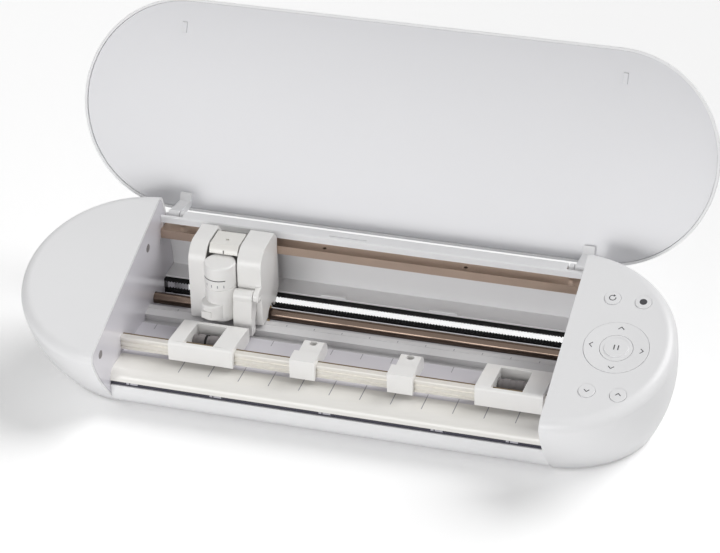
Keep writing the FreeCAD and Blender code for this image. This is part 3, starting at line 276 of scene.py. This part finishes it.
def painted_steel(name, base):
    """Powder-coated motor can: fine orange peel and a low gloss."""
    material, tree, shader = surface(name, base, 0.45)
    grain(tree, shader, 0.8, 0.02)
    return material


def knurled_steel(name, base):
    """Rolled grit on the feed sleeves: small sharp points that sparkle."""
    material, tree, shader = surface(name, base, 0.4, Metallic=1.0)
    grain(tree, shader, 0.7, 0.08)
    return material


def glass_epoxy(name, base):
    """Circuit laminate under green solder resist."""
    material, tree, shader = surface(name, base, 0.3)
    mottle(tree, shader, base, 0.3, 5)
    return material


def pad_ink(name, base):
    """Pad-printed ink: flat, with a dry edge to its gloss."""
    material, tree, shader = surface(name, base, 0.5)
    mottle(tree, shader, base, 0.1, 2)
    return material


def make_materials(colours):
    """Every finish of the machine by the name of its slot."""
    return {
        "white_abs": moulded_abs("white ABS, satin moulded", colours.casing),
        "lavender_abs": polished_abs("cool white ABS, polished moulded", colours.bay),
        "cream_abs": polished_abs("cream ABS, polished moulded", colours.cream),
        "warm_white_abs": moulded_abs("warm white ABS, moulded", colours.units, 0.3),
        "lid_inner": polished_abs("lid white ABS, polished moulded", colours.lid_inside),
        "dark_strip": moulded_abs("dark ABS, moulded", linear("34323F"), 0.4),
        "button_white": moulded_abs("button ABS, satin moulded", colours.casing, 0.3),
        "bronze_rail": anodised_aluminium("bronze anodised aluminium, drawn", colours.rail, 0.28),
        "ground_steel": ground_steel("browned steel, ground", colours.shaft, 0.17),
        "bar_aluminium": anodised_aluminium("pale anodised aluminium, extruded", colours.bar),
        "belt_rubber": moulded_rubber("black belt rubber, moulded", linear("0E0D0F"), 0.9),
        "roller_rubber": moulded_rubber("grey roller rubber, ground", colours.rubber),
        "foot_rubber": moulded_rubber("black foot rubber, moulded", linear("232325")),
        "motor_steel": painted_steel("black motor steel, powder coated", linear("2B2B2E")),
        "grit_steel": knurled_steel("grit steel, knurled", linear("8D8A86")),
        "gear_plastic": moulded_abs("acetal, moulded", linear("E2E1DC"), 0.4),
        "blade_steel": ground_steel("bright steel, ground", linear("B8B8BC")),
        "board_laminate": glass_epoxy("green epoxy laminate, printed", linear("1F5A33")),
        "bearing_brass": ground_steel("brass, turned", linear("C9A45A"), 0.3),
        "black_abs": moulded_abs("black ABS, moulded", linear("1C1C1E"), 0.4),
        "strip_abs": polished_abs("grey white ABS, polished moulded", linear("DCDBDC")),
        "ink": pad_ink("dark ink, pad printed", colours.ink),
        "pale_ink": pad_ink("pale grey ink, pad printed", linear("B9B8BF")),
        "tick_ink": pad_ink("mid grey ink, pad printed", linear("9C9AA0")),
        "bar_steel": ground_steel("straw-coloured steel, drawn", linear("7A6A52"), 0.3),
    }


FINISH = {}


# ---- new pieces ----
def put(name, data):
    """Object made from its data and linked into the scene."""
    made = bpy.data.objects.new(name, data)
    bpy.context.scene.collection.objects.link(made)
    return made


def new_piece(name, shape, finish, body, smooth=False):
    """Closes a bmesh into a piece that rides on a body, in a finish and a slot of the record."""
    bmesh.ops.remove_doubles(shape, verts=shape.verts, dist=WELD * MM)
    bmesh.ops.recalc_face_normals(shape, faces=shape.faces)
    for face in shape.faces:
        face.smooth = smooth
    mesh = bpy.data.meshes.new(name)
    shape.to_mesh(mesh)
    shape.free()
    piece = put(name, mesh)
    piece.data.materials.append(FINISH[finish])
    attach(piece, body)
    return piece


def block(shape, low, high, turn=None, edge=0.0):
    """Box between two corners in the shape's own frame, with rounded edges if asked."""
    middle = (Vector(low) + Vector(high)) / 2
    size = Vector(high) - Vector(low)
    place = Matrix.Translation(middle) @ Matrix.Diagonal((*size, 1.0))
    made = bmesh.ops.create_cube(shape, size=1.0, matrix=(turn or Matrix()) @ place)
    if edge:
        lines = list({line for vert in made["verts"] for line in vert.link_edges})
        bmesh.ops.bevel(shape, geom=lines, offset=edge, offset_type="OFFSET", affect="EDGES",
                        segments=2, profile=0.5, material=-1)


def disc(shape, centre, radius, height, turn):
    """Flat round pad whose underside is centred on centre."""
    place = Matrix.Translation(Vector(centre) + Vector((0, 0, height / 2)))
    bmesh.ops.create_cone(shape, cap_ends=True, segments=DISC_SIDES, radius1=radius, radius2=radius,
                          depth=height, matrix=turn @ place)


def flat_outline(shape, points, z0, z1, turn=None):
    """Plate with the outline of a few points, between two heights."""
    turn = turn or Matrix()
    verts = [shape.verts.new(turn @ Vector((x, y, z0))) for x, y in points]
    face = shape.faces.new(verts)
    raised = bmesh.ops.extrude_face_region(shape, geom=[face])
    top = [item for item in raised["geom"] if isinstance(item, bmesh.types.BMVert)]
    up = (turn @ Vector((0, 0, z1))) - (turn @ Vector((0, 0, z0)))
    bmesh.ops.translate(shape, verts=top, vec=up)


def arc_band(shape, centre, radius, width, z0, z1, start, sweep, turn=None, steps=40):
    """Ring or part of a ring lying flat, swept about the upright line through centre."""
    turn = turn or Matrix()
    spot = Vector(centre)
    way = Vector((math.cos(start), math.sin(start), 0))
    corners = [(radius - width / 2, z0), (radius + width / 2, z0), (radius + width / 2, z1),
               (radius - width / 2, z1)]
    verts = [shape.verts.new(turn @ (spot + way * r + Vector((0, 0, z)))) for r, z in corners]
    full = abs(sweep) >= 2 * math.pi - 1e-6
    if full:
        section = [shape.edges.new((verts[i], verts[(i + 1) % 4])) for i in range(4)]
    else:
        section = [shape.faces.new(verts)]
    axis = (turn @ Vector((0, 0, 1))) - (turn @ Vector((0, 0, 0)))
    bmesh.ops.spin(shape, geom=verts + section, cent=turn @ spot, axis=axis, angle=sweep, steps=steps,
                   use_merge=full)


def top_frame():
    """Frame of the sloping top: X across, Y up the slope, Z out of it, from the seam's middle."""
    return Matrix.Translation(Vector((0, SEAM[0] * MM, SEAM[1] * MM))) @ Matrix.Rotation(TILT, 4, "X")


def chevron(shape, centre, reach, stroke, way, z0, z1, turn):
    """Arrow head without a stem, pointing at the angle way."""
    x, y = centre
    point = Matrix.Translation((x, y, 0)) @ Matrix.Rotation(way - math.pi / 2, 4, "Z")
    half = stroke / math.sqrt(2)
    outline = [(-reach, -half), (0, reach - half), (reach, -half), (reach - half, -2 * half),
               (0, reach - 3 * half), (-reach + half, -2 * half)]
    flat_outline(shape, outline, z0, z1, turn @ point)


# ---- pieces from the solids ----
def finished_copy(node, material, edge=0.0):
    """Copy of a solid with shared corners, smooth curves and small rounds on its edges."""
    source = frame["nodes"][node]
    mesh = bpy.data.meshes.new(node + "_finished")
    shape = bmesh.new()
    shape.from_mesh(source.data)
    bmesh.ops.remove_doubles(shape, verts=shape.verts, dist=COPY_WELD * MM)
    bmesh.ops.dissolve_limit(shape, angle_limit=math.radians(FLAT), verts=shape.verts,
                             edges=shape.edges)
    for face in shape.faces:
        face.smooth = True
    for line in shape.edges:
        if line.is_manifold and line.calc_face_angle(0.0) > math.radians(SHARP):
            line.smooth = False
    shape.to_mesh(mesh)
    shape.free()
    piece = put(node + "_finished", mesh)
    piece.data.materials.append(material)
    if edge:
        bevel = piece.modifiers.new("edge rounds", "BEVEL")
        bevel.width = edge
        bevel.segments = 2
        bevel.limit_method = "ANGLE"
        bevel.angle_limit = math.radians(SHARP)
        bevel.harden_normals = True
    return piece


def body_of(node):
    """Body of the record that holds a solid."""
    for body, nodes in frame["record"]["behaviour"]["bodies"].items():
        if node in nodes:
            return body


def dress(nodes, edge=0.0, finish=None):
    """Shows each named solid as its finished copy, in its slot's finish or another."""
    for node in nodes:
        piece = finished_copy(node, FINISH[finish or SLOTS[node]], edge)
        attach(piece, body_of(node))
        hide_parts(node)


def shelf_trim():
    """White bead along the shelf over the rear slot, with its two locating pads."""
    shape = bmesh.new()
    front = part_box("rear_housing")[0].y
    top = SHELF_Z * MM
    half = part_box("rear_housing")[1].x - SHELF_GAP * MM
    block(shape, (-half, front - BEAD_PROUD * MM, top - BEAD_DROP * MM),
          (half, front, top + BEAD_RISE * MM), edge=BEAD_ROUND * MM)
    for x0, x1 in SHELF_PADS:
        block(shape, (x0 * MM, front - PAD_PROUD * MM, top + BEAD_RISE * MM),
              (x1 * MM, front + PAD_BACK * MM, top + PAD_RISE * MM), edge=PAD_ROUND * MM)
    new_piece("shelf_bead", shape, "button_white", body_of("rear_housing"))


def rail_end_shade_strips():
    """Painted shade: a dark upright strip of ink on the inner face of each side wall, beside the upper
    rail's end.
    """
    (y0, y1), (z0, z1) = RAIL_END_SHADE_Y, RAIL_END_SHADE_Z
    shape = bmesh.new()
    for x in (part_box("left_side_wall")[1].x / MM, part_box("right_side_wall")[0].x / MM):
        block(shape, ((x - INK) * MM, y0 * MM, z0 * MM), ((x + INK) * MM, y1 * MM, z1 * MM))
    new_piece("rail_end_shade_strips", shape, "ink", body_of("left_side_wall"))


def slot_marks():
    """Pale position marks printed on the dark strip in the front slot."""
    shape = bmesh.new()
    face = SLOT[0].y - INK * MM
    low = SLOT[0].z + SLOT_BAR_LOW * MM
    for x in SLOT_MARKS:
        for start, width in SLOT_BARS:
            x0 = (x + start) * MM
            block(shape, (x0, face, low),
                  (x0 + width * MM, face + SLOT_BAR_THICK * MM, low + SLOT_BAR_TALL * MM))
    new_piece("front_slot_marks", shape, "pale_ink", body_of("front_slot"))


class CUTTER_OT_casing(bpy.types.Operator):
    """Finish the rounded ends, walls, ledge and floor"""
    bl_idname = "cutter.casing"
    bl_label = "Casing"

    def execute(self, context):
        edge = context.scene.cutter_sizes.edge
        dress(["left_skirt", "right_skirt", "left_top_cover", "right_top_cover", "left_side_wall",
               "right_side_wall", "rear_housing", "hinge_ledge", "hinge_ears", "base_pan",
               "front_panel", "front_slot", "feet", "rear_sockets", "lid_bumpers"], edge)
        shelf_trim()
        slot_marks()
        # dark ink strips that paint the shade at the upper rail's ends
        rail_end_shade_strips()
        return {"FINISHED"}


class CUTTER_OT_lid(bpy.types.Operator):
    """Finish the lid's shell, inner panel and arms"""
    bl_idname = "cutter.lid"
    bl_label = "Lid"

    def execute(self, context):
        dress(["lid_shell", "lid_panel", "lid_arms"], context.scene.cutter_sizes.edge)
        return {"FINISHED"}


def smooth_apron():
    """Front apron: a flat plate that rolls over into the front slot."""
    shape = bmesh.new()
    low, high = APRON
    wall = APRON_WALL * MM
    turn_y = low.y + APRON_ROUND * MM
    corners = ((low.x, high.y, high.z), (high.x, high.y, high.z), (high.x, high.y, high.z - wall),
               (low.x, high.y, high.z - wall))
    verts = [shape.verts.new(corner) for corner in corners]
    raised = bmesh.ops.extrude_face_region(shape, geom=[shape.faces.new(verts)])
    front = [item for item in raised["geom"] if isinstance(item, bmesh.types.BMFace)]
    moved = [item for item in raised["geom"] if isinstance(item, bmesh.types.BMVert)]
    bmesh.ops.translate(shape, verts=moved, vec=(0, turn_y - high.y, 0))
    bmesh.ops.spin(shape, geom=front, cent=(0, turn_y, high.z - APRON_ROUND * MM), axis=(1, 0, 0),
                   angle=math.radians(90), steps=APRON_STEPS)
    for face in list(shape.faces):      # the wall left inside, where the roll joins the plate
        if all(abs(vert.co.y - turn_y) < SAME_PLACE for vert in face.verts):
            shape.faces.remove(face)
    piece = new_piece("front_apron_rolled", shape, "cream_abs", body_of("front_apron"),
                      True)
    piece.data.set_sharp_from_angle(angle=math.radians(SHARP))
    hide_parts("front_apron")


def feed_marks():
    """Inch lines on the apron and platen, and short ticks on the cutting strip."""
    ink = INK * MM
    shape = bmesh.new()
    top = PLATEN[1].z
    for inch in APRON_MARKS:
        x = inch * INCH * MM
        block(shape, (x - LINE_HALF * MM, APRON[0].y + APRON_LINE_FRONT * MM, top - ink),
              (x + LINE_HALF * MM, PLATEN[0].y + APRON_LINE_BACK * MM, top + ink))
    for inch in REAR_MARKS:
        x = (inch * INCH + REAR_MARK_SHIFT) * MM
        block(shape, (x - REAR_MARK_HALF * MM, PLATEN[1].y - REAR_MARK_LONG * MM, top - ink),
              (x + REAR_MARK_HALF * MM, PLATEN[1].y, top + ink))
    new_piece("inch_lines", shape, "tick_ink", body_of("platen"))
    shape = bmesh.new()
    back, top = STRIP[1].y, STRIP[1].z
    front, rear = STRIP_TICK_ENDS
    for i in range(STRIP_TICKS):
        x = (STRIP_TICK_FIRST + i * STRIP_TICK_PITCH) * MM
        if abs(x) < STRIP[1].x:
            block(shape, (x - LINE_HALF * MM, back - front * MM, top - ink),
                  (x + LINE_HALF * MM, back - rear * MM, top + ink))
    new_piece("strip_ticks", shape, "tick_ink", body_of("cutting_strip"))


class CUTTER_OT_feed(bpy.types.Operator):
    """Finish the platen, strips, pinch bar and rollers"""
    bl_idname = "cutter.feed"
    bl_label = "Feed path"

    def execute(self, context):
        edge = context.scene.cutter_sizes.edge
        dress(["platen", "rear_platen", "pinch_bar", "feed_roller", "feed_gear", "motor_pinion",
               "feed_motor", "feed_bushes"])
        dress(["cutting_strip"], finish="strip_abs")
        dress(["bar_rod"], finish="bar_steel")
        smooth_apron()
        feed_marks()
        for unit in ("left_pinch", "right_pinch", "mid_left_pinch", "mid_right_pinch"):
            dress([unit + "_housing"], edge * HOUSING_EDGE)
            dress([unit + "_roller"], edge)
        roller_bands()
        return {"FINISHED"}


def band_round(shape, low, high, x):
    """Ring round a roller whose box is given, at x along it."""
    centre = (low + high) / 2
    radius = (high.z - low.z) / 2
    width, proud, sunk = BAND_WIDTH * MM, BAND_PROUD * MM, BAND_SUNK * MM
    turn = Matrix.Translation((x, centre.y, centre.z)) @ Matrix.Rotation(math.pi / 2, 4, "Y")
    arc_band(shape, (0, 0, 0), radius + proud / 2 - sunk / 2, proud + sunk, -width / 2, width / 2,
             0.0, 2 * math.pi, turn)


def roller_bands():
    """Black grip bands on the two wide rollers."""
    for unit, places in BAND_PLACES.items():
        low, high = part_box(unit + "_roller")
        shape = bmesh.new()
        for share in places:
            band_round(shape, low, high, low.x + share * (high.x - low.x))
        new_piece(unit + "_bands", shape, "belt_rubber", body_of(unit + "_roller"),
                  True)


def dial_marks():
    """Black arc and short scale on the dial, and the index line on the block behind it."""
    low, high = DIAL
    centre = (low + high) / 2
    radius = (high.x - low.x) / 2
    middle = (centre.x, centre.y, 0)
    z0, z1 = (z * MM for z in DIAL_ARC_Z)
    start, sweep = (math.radians(degrees) for degrees in DIAL_ARC)
    shape = bmesh.new()
    arc_band(shape, middle, radius, 2 * INK * MM, z0, z1, start, sweep)
    new_piece("dial_arc", shape, "ink", body_of("depth_dial"))
    z0, z1 = (z * MM for z in DIAL_TICK_Z)
    shape = bmesh.new()
    for degrees in DIAL_TICKS:
        arc_band(shape, middle, radius, 2 * INK * MM, z0, z1,
                 math.radians(degrees - DIAL_TICK_SWEEP / 2), math.radians(DIAL_TICK_SWEEP), steps=2)
    new_piece("dial_scale", shape, "tick_ink", body_of("depth_dial"))
    shape = bmesh.new()
    face, low = BLOCK[0].y, BLOCK[0].z
    block(shape, (centre.x - INDEX_HALF * MM, face - INK * MM, low + INDEX_Z[0] * MM),
          (centre.x + INDEX_HALF * MM, face + INDEX_BACK * MM, low + INDEX_Z[1] * MM))
    new_piece("index_line", shape, "ink", body_of("clamp_block"))


class CUTTER_OT_carriage(bpy.types.Operator):
    """Finish the rail, shaft, belt drive, carriage and tool"""
    bl_idname = "cutter.carriage"
    bl_label = "Carriage"

    def execute(self, context):
        edge = context.scene.cutter_sizes.edge
        dress(["upper_rail", "guide_shaft", "drive_belt", "drive_pulley", "idler_pulley",
               "idler_bracket", "carriage_motor"])
        dress(["carriage_body", "carriage_left_cover", "carriage_right_cover", "clamp_block",
               "tool_holder", "depth_dial", "clamp_lever"], edge)
        dress(["carriage_bushes", "blade"])
        dial_marks()
        return {"FINISHED"}


def button_symbols(stroke):
    """Generic symbols: load arrow, power dot, down, up and pause."""
    top = top_frame()
    z0, z1 = (BUTTON_TOP - INK) * MM, (BUTTON_TOP + INK) * MM
    left, right = (x * MM for x in BUTTON_X)
    near, far = (y * MM for y in BUTTON_Y)
    shape = bmesh.new()
    radius = LOAD_RADIUS * MM
    start, sweep = (math.radians(degrees) for degrees in LOAD_ARC)
    arc_band(shape, (left, far, 0), radius, stroke, z0, z1, start, sweep, top)
    head = top @ Matrix.Translation((left + radius * LOAD_TIP[0], far + radius * LOAD_TIP[1], 0))
    flat_outline(shape, [(x * MM, y * MM) for x, y in LOAD_HEAD], z0, z1, head)
    new_piece("load_symbol", shape, "ink", body_of("load_button"))
    shape = bmesh.new()
    disc(shape, (right, far, z0), POWER_RADIUS * MM, z1 - z0, top)
    new_piece("power_symbol", shape, "ink", body_of("power_button"))
    for name, x, way in (("down_button", left, -math.pi / 2), ("up_button", right, math.pi / 2)):
        shape = bmesh.new()
        chevron(shape, (x, near), BUTTON_ARROW * MM, stroke, way, z0, z1, top)
        new_piece(name + "_symbol", shape, "ink", body_of(name))
    shape = bmesh.new()
    half, reach = PAUSE_HALF
    y = RING_CENTRE[1]
    for side in (-1, 1):
        x = RING_CENTRE[0] + side * PAUSE_APART
        block(shape, ((x - half) * MM, (y - reach) * MM, (PAUSE_TOP - INK) * MM),
              ((x + half) * MM, (y + reach) * MM, (PAUSE_TOP + INK) * MM), top)
    new_piece("pause_symbol", shape, "ink", body_of("pause_button"))


def ring_symbols(stroke):
    """Four arrows that follow the slope of the ring's dished top."""
    shape = bmesh.new()
    radius, floor = RING_DISH
    slope = math.asin(RING_MARKS / radius)
    height = floor + radius * (1 - math.cos(slope))
    for way in range(4):
        turn = (top_frame() @ Matrix.Translation((RING_CENTRE[0] * MM, RING_CENTRE[1] * MM, 0))
                @ Matrix.Rotation(way * math.pi / 2, 4, "Z")
                @ Matrix.Translation((0, RING_MARKS * MM, height * MM)) @ Matrix.Rotation(slope, 4, "X"))
        chevron(shape, (0, 0), RING_ARROW * MM, stroke, math.pi / 2, -INK * MM, INK * MM, turn)
    new_piece("ring_symbols", shape, "ink", body_of("nav_ring"))


class CUTTER_OT_controls(bpy.types.Operator):
    """Finish the direction ring, the buttons and the board under them"""
    bl_idname = "cutter.controls"
    bl_label = "Controls"

    def execute(self, context):
        sizes = context.scene.cutter_sizes
        dress(["nav_ring", "pause_button", "down_button", "load_button", "up_button",
               "power_button"], sizes.edge * BUTTON_EDGE)
        dress(["main_board"])
        button_symbols(sizes.stroke)
        ring_symbols(sizes.stroke)
        return {"FINISHED"}


# ---- stage ----
def area_lamp(name, place, aim, size, power):
    """Rectangular lamp at a place, aimed at a point."""
    lamp = bpy.data.lights.new(name, "AREA")
    lamp.shape = "RECTANGLE"
    lamp.size = size[0]
    lamp.size_y = size[1]
    lamp.energy = power
    turn = (Vector(aim) - Vector(place)).to_track_quat("-Z", "Y").to_matrix().to_4x4()
    put(name, lamp).matrix_world = Matrix.Translation(place) @ turn


def broad_lamp(name, way, spread, power):
    """Distant lamp as wide as an overhead diffuser, even over the whole table."""
    lamp = bpy.data.lights.new(name, "SUN")
    lamp.angle = math.radians(spread)
    lamp.energy = power
    put(name, lamp).matrix_world = Vector(way).to_track_quat("Z", "Y").to_matrix().to_4x4()


def make_camera():
    """Camera in front and above, a little to the right, with a small roll."""
    azimuth = math.radians(CAMERA_AZIMUTH)
    height = math.radians(CAMERA_HEIGHT)
    roll = math.radians(CAMERA_ROLL)
    back = Vector((math.sin(azimuth) * math.cos(height), -math.cos(azimuth) * math.cos(height),
                   math.sin(height)))
    level = Vector((math.cos(azimuth), math.sin(azimuth), 0.0))
    upright = back.cross(level)
    right = level * math.cos(roll) + upright * math.sin(roll)
    up = upright * math.cos(roll) - level * math.sin(roll)
    lens = bpy.data.cameras.new("camera")
    lens.lens = CAMERA_LENS
    lens.sensor_width = SENSOR_WIDTH
    lens.clip_end = CLIP_END
    camera = put("camera", lens)
    turn = Matrix((right, up, back)).transposed().to_4x4()
    camera.matrix_world = Matrix.Translation(Vector(CAMERA_PLACE) * MM) @ turn
    bpy.context.scene.camera = camera


def table_top(size):
    """White table that keeps the machine's shadow and shows plain white beyond it."""
    shape = bmesh.new()
    bmesh.ops.create_grid(shape, x_segments=1, y_segments=1, size=size / 2)
    mesh = bpy.data.meshes.new("table_top")
    shape.to_mesh(mesh)
    shape.free()
    table = put("table_top", mesh)
    material, tree, shader = surface("white table, laminate", linear("FAFAFA"), 0.9,
                                     Specular_IOR_Level=0.0)
    path = add(tree, "ShaderNodeLightPath")
    lift = add(tree, "ShaderNodeMath", {"operation": "MULTIPLY"})
    lift.inputs[1].default_value = TABLE_LIFT
    tree.links.new(path.outputs["Is Camera Ray"], lift.inputs[0])
    shader.inputs["Emission Color"].default_value = (1, 1, 1, 1)
    tree.links.new(lift.outputs[0], shader.inputs["Emission Strength"])
    table.data.materials.append(material)


class CUTTER_OT_stage(bpy.types.Operator):
    """Set the table, lamps, world and camera"""
    bl_idname = "cutter.stage"
    bl_label = "Table and lamps"

    def execute(self, context):
        scene = context.scene
        scene.view_settings.view_transform = "Standard"
        world = bpy.data.worlds.new("studio") if scene.world is None else scene.world
        scene.world = world
        world.use_nodes = True
        tree = world.node_tree
        tree.nodes.clear()
        seen = add(tree, "ShaderNodeBackground", {"Color": (1, 1, 1, 1), "Strength": SEEN_STRENGTH})
        fill = add(tree, "ShaderNodeBackground", {"Color": (1, 1, 1, 1), "Strength": FILL_STRENGTH})
        path = add(tree, "ShaderNodeLightPath")
        either = add(tree, "ShaderNodeMath", {"operation": "MAXIMUM"})
        tree.links.new(path.outputs["Is Camera Ray"], either.inputs[0])
        tree.links.new(path.outputs["Is Glossy Ray"], either.inputs[1])
        mixed = add(tree, "ShaderNodeMixShader", None, {0: either.outputs[0]})
        tree.links.new(fill.outputs[0], mixed.inputs[1])
        tree.links.new(seen.outputs[0], mixed.inputs[2])
        add(tree, "ShaderNodeOutputWorld", None, {"Surface": mixed.outputs[0]})
        broad_lamp("top light", **TOP_LAMP)
        area_lamp("front lamp", **FRONT_LAMP)
        table_top(scene.cutter_sizes.floor)
        make_camera()
        return {"FINISHED"}


OPERATORS = (CUTTER_OT_casing, CUTTER_OT_lid, CUTTER_OT_feed, CUTTER_OT_carriage, CUTTER_OT_controls,
             CUTTER_OT_stage)


class CUTTER_PT_panel(bpy.types.Panel):
    """Steps that dress the cutter, in order"""
    bl_idname = "CUTTER_PT_panel"
    bl_label = "Vinyl cutter"
    bl_space_type = "VIEW_3D"
    bl_region_type = "UI"
    bl_category = "Cutter"

    def draw(self, context):
        for group in (context.scene.cutter_colours, context.scene.cutter_sizes):
            for key in group.__annotations__:
                self.layout.prop(group, key)
        for operator in OPERATORS:
            self.layout.operator(operator.bl_idname)


CLASSES = (CutterColours, CutterSizes) + OPERATORS + (CUTTER_PT_panel,)


def register():
    for each in CLASSES:
        bpy.utils.register_class(each)
    bpy.types.Scene.cutter_colours = bpy.props.PointerProperty(type=CutterColours)
    bpy.types.Scene.cutter_sizes = bpy.props.PointerProperty(type=CutterSizes)


def unregister():
    del bpy.types.Scene.cutter_sizes
    del bpy.types.Scene.cutter_colours
    for each in reversed(CLASSES):
        bpy.utils.unregister_class(each)


def main():
    register()
    FINISH.update(make_materials(bpy.context.scene.cutter_colours))
    bpy.ops.cutter.casing()
    bpy.ops.cutter.lid()
    bpy.ops.cutter.feed()
    bpy.ops.cutter.carriage()
    bpy.ops.cutter.controls()
    bpy.ops.cutter.stage()


if __name__ == "__main__":
    main()
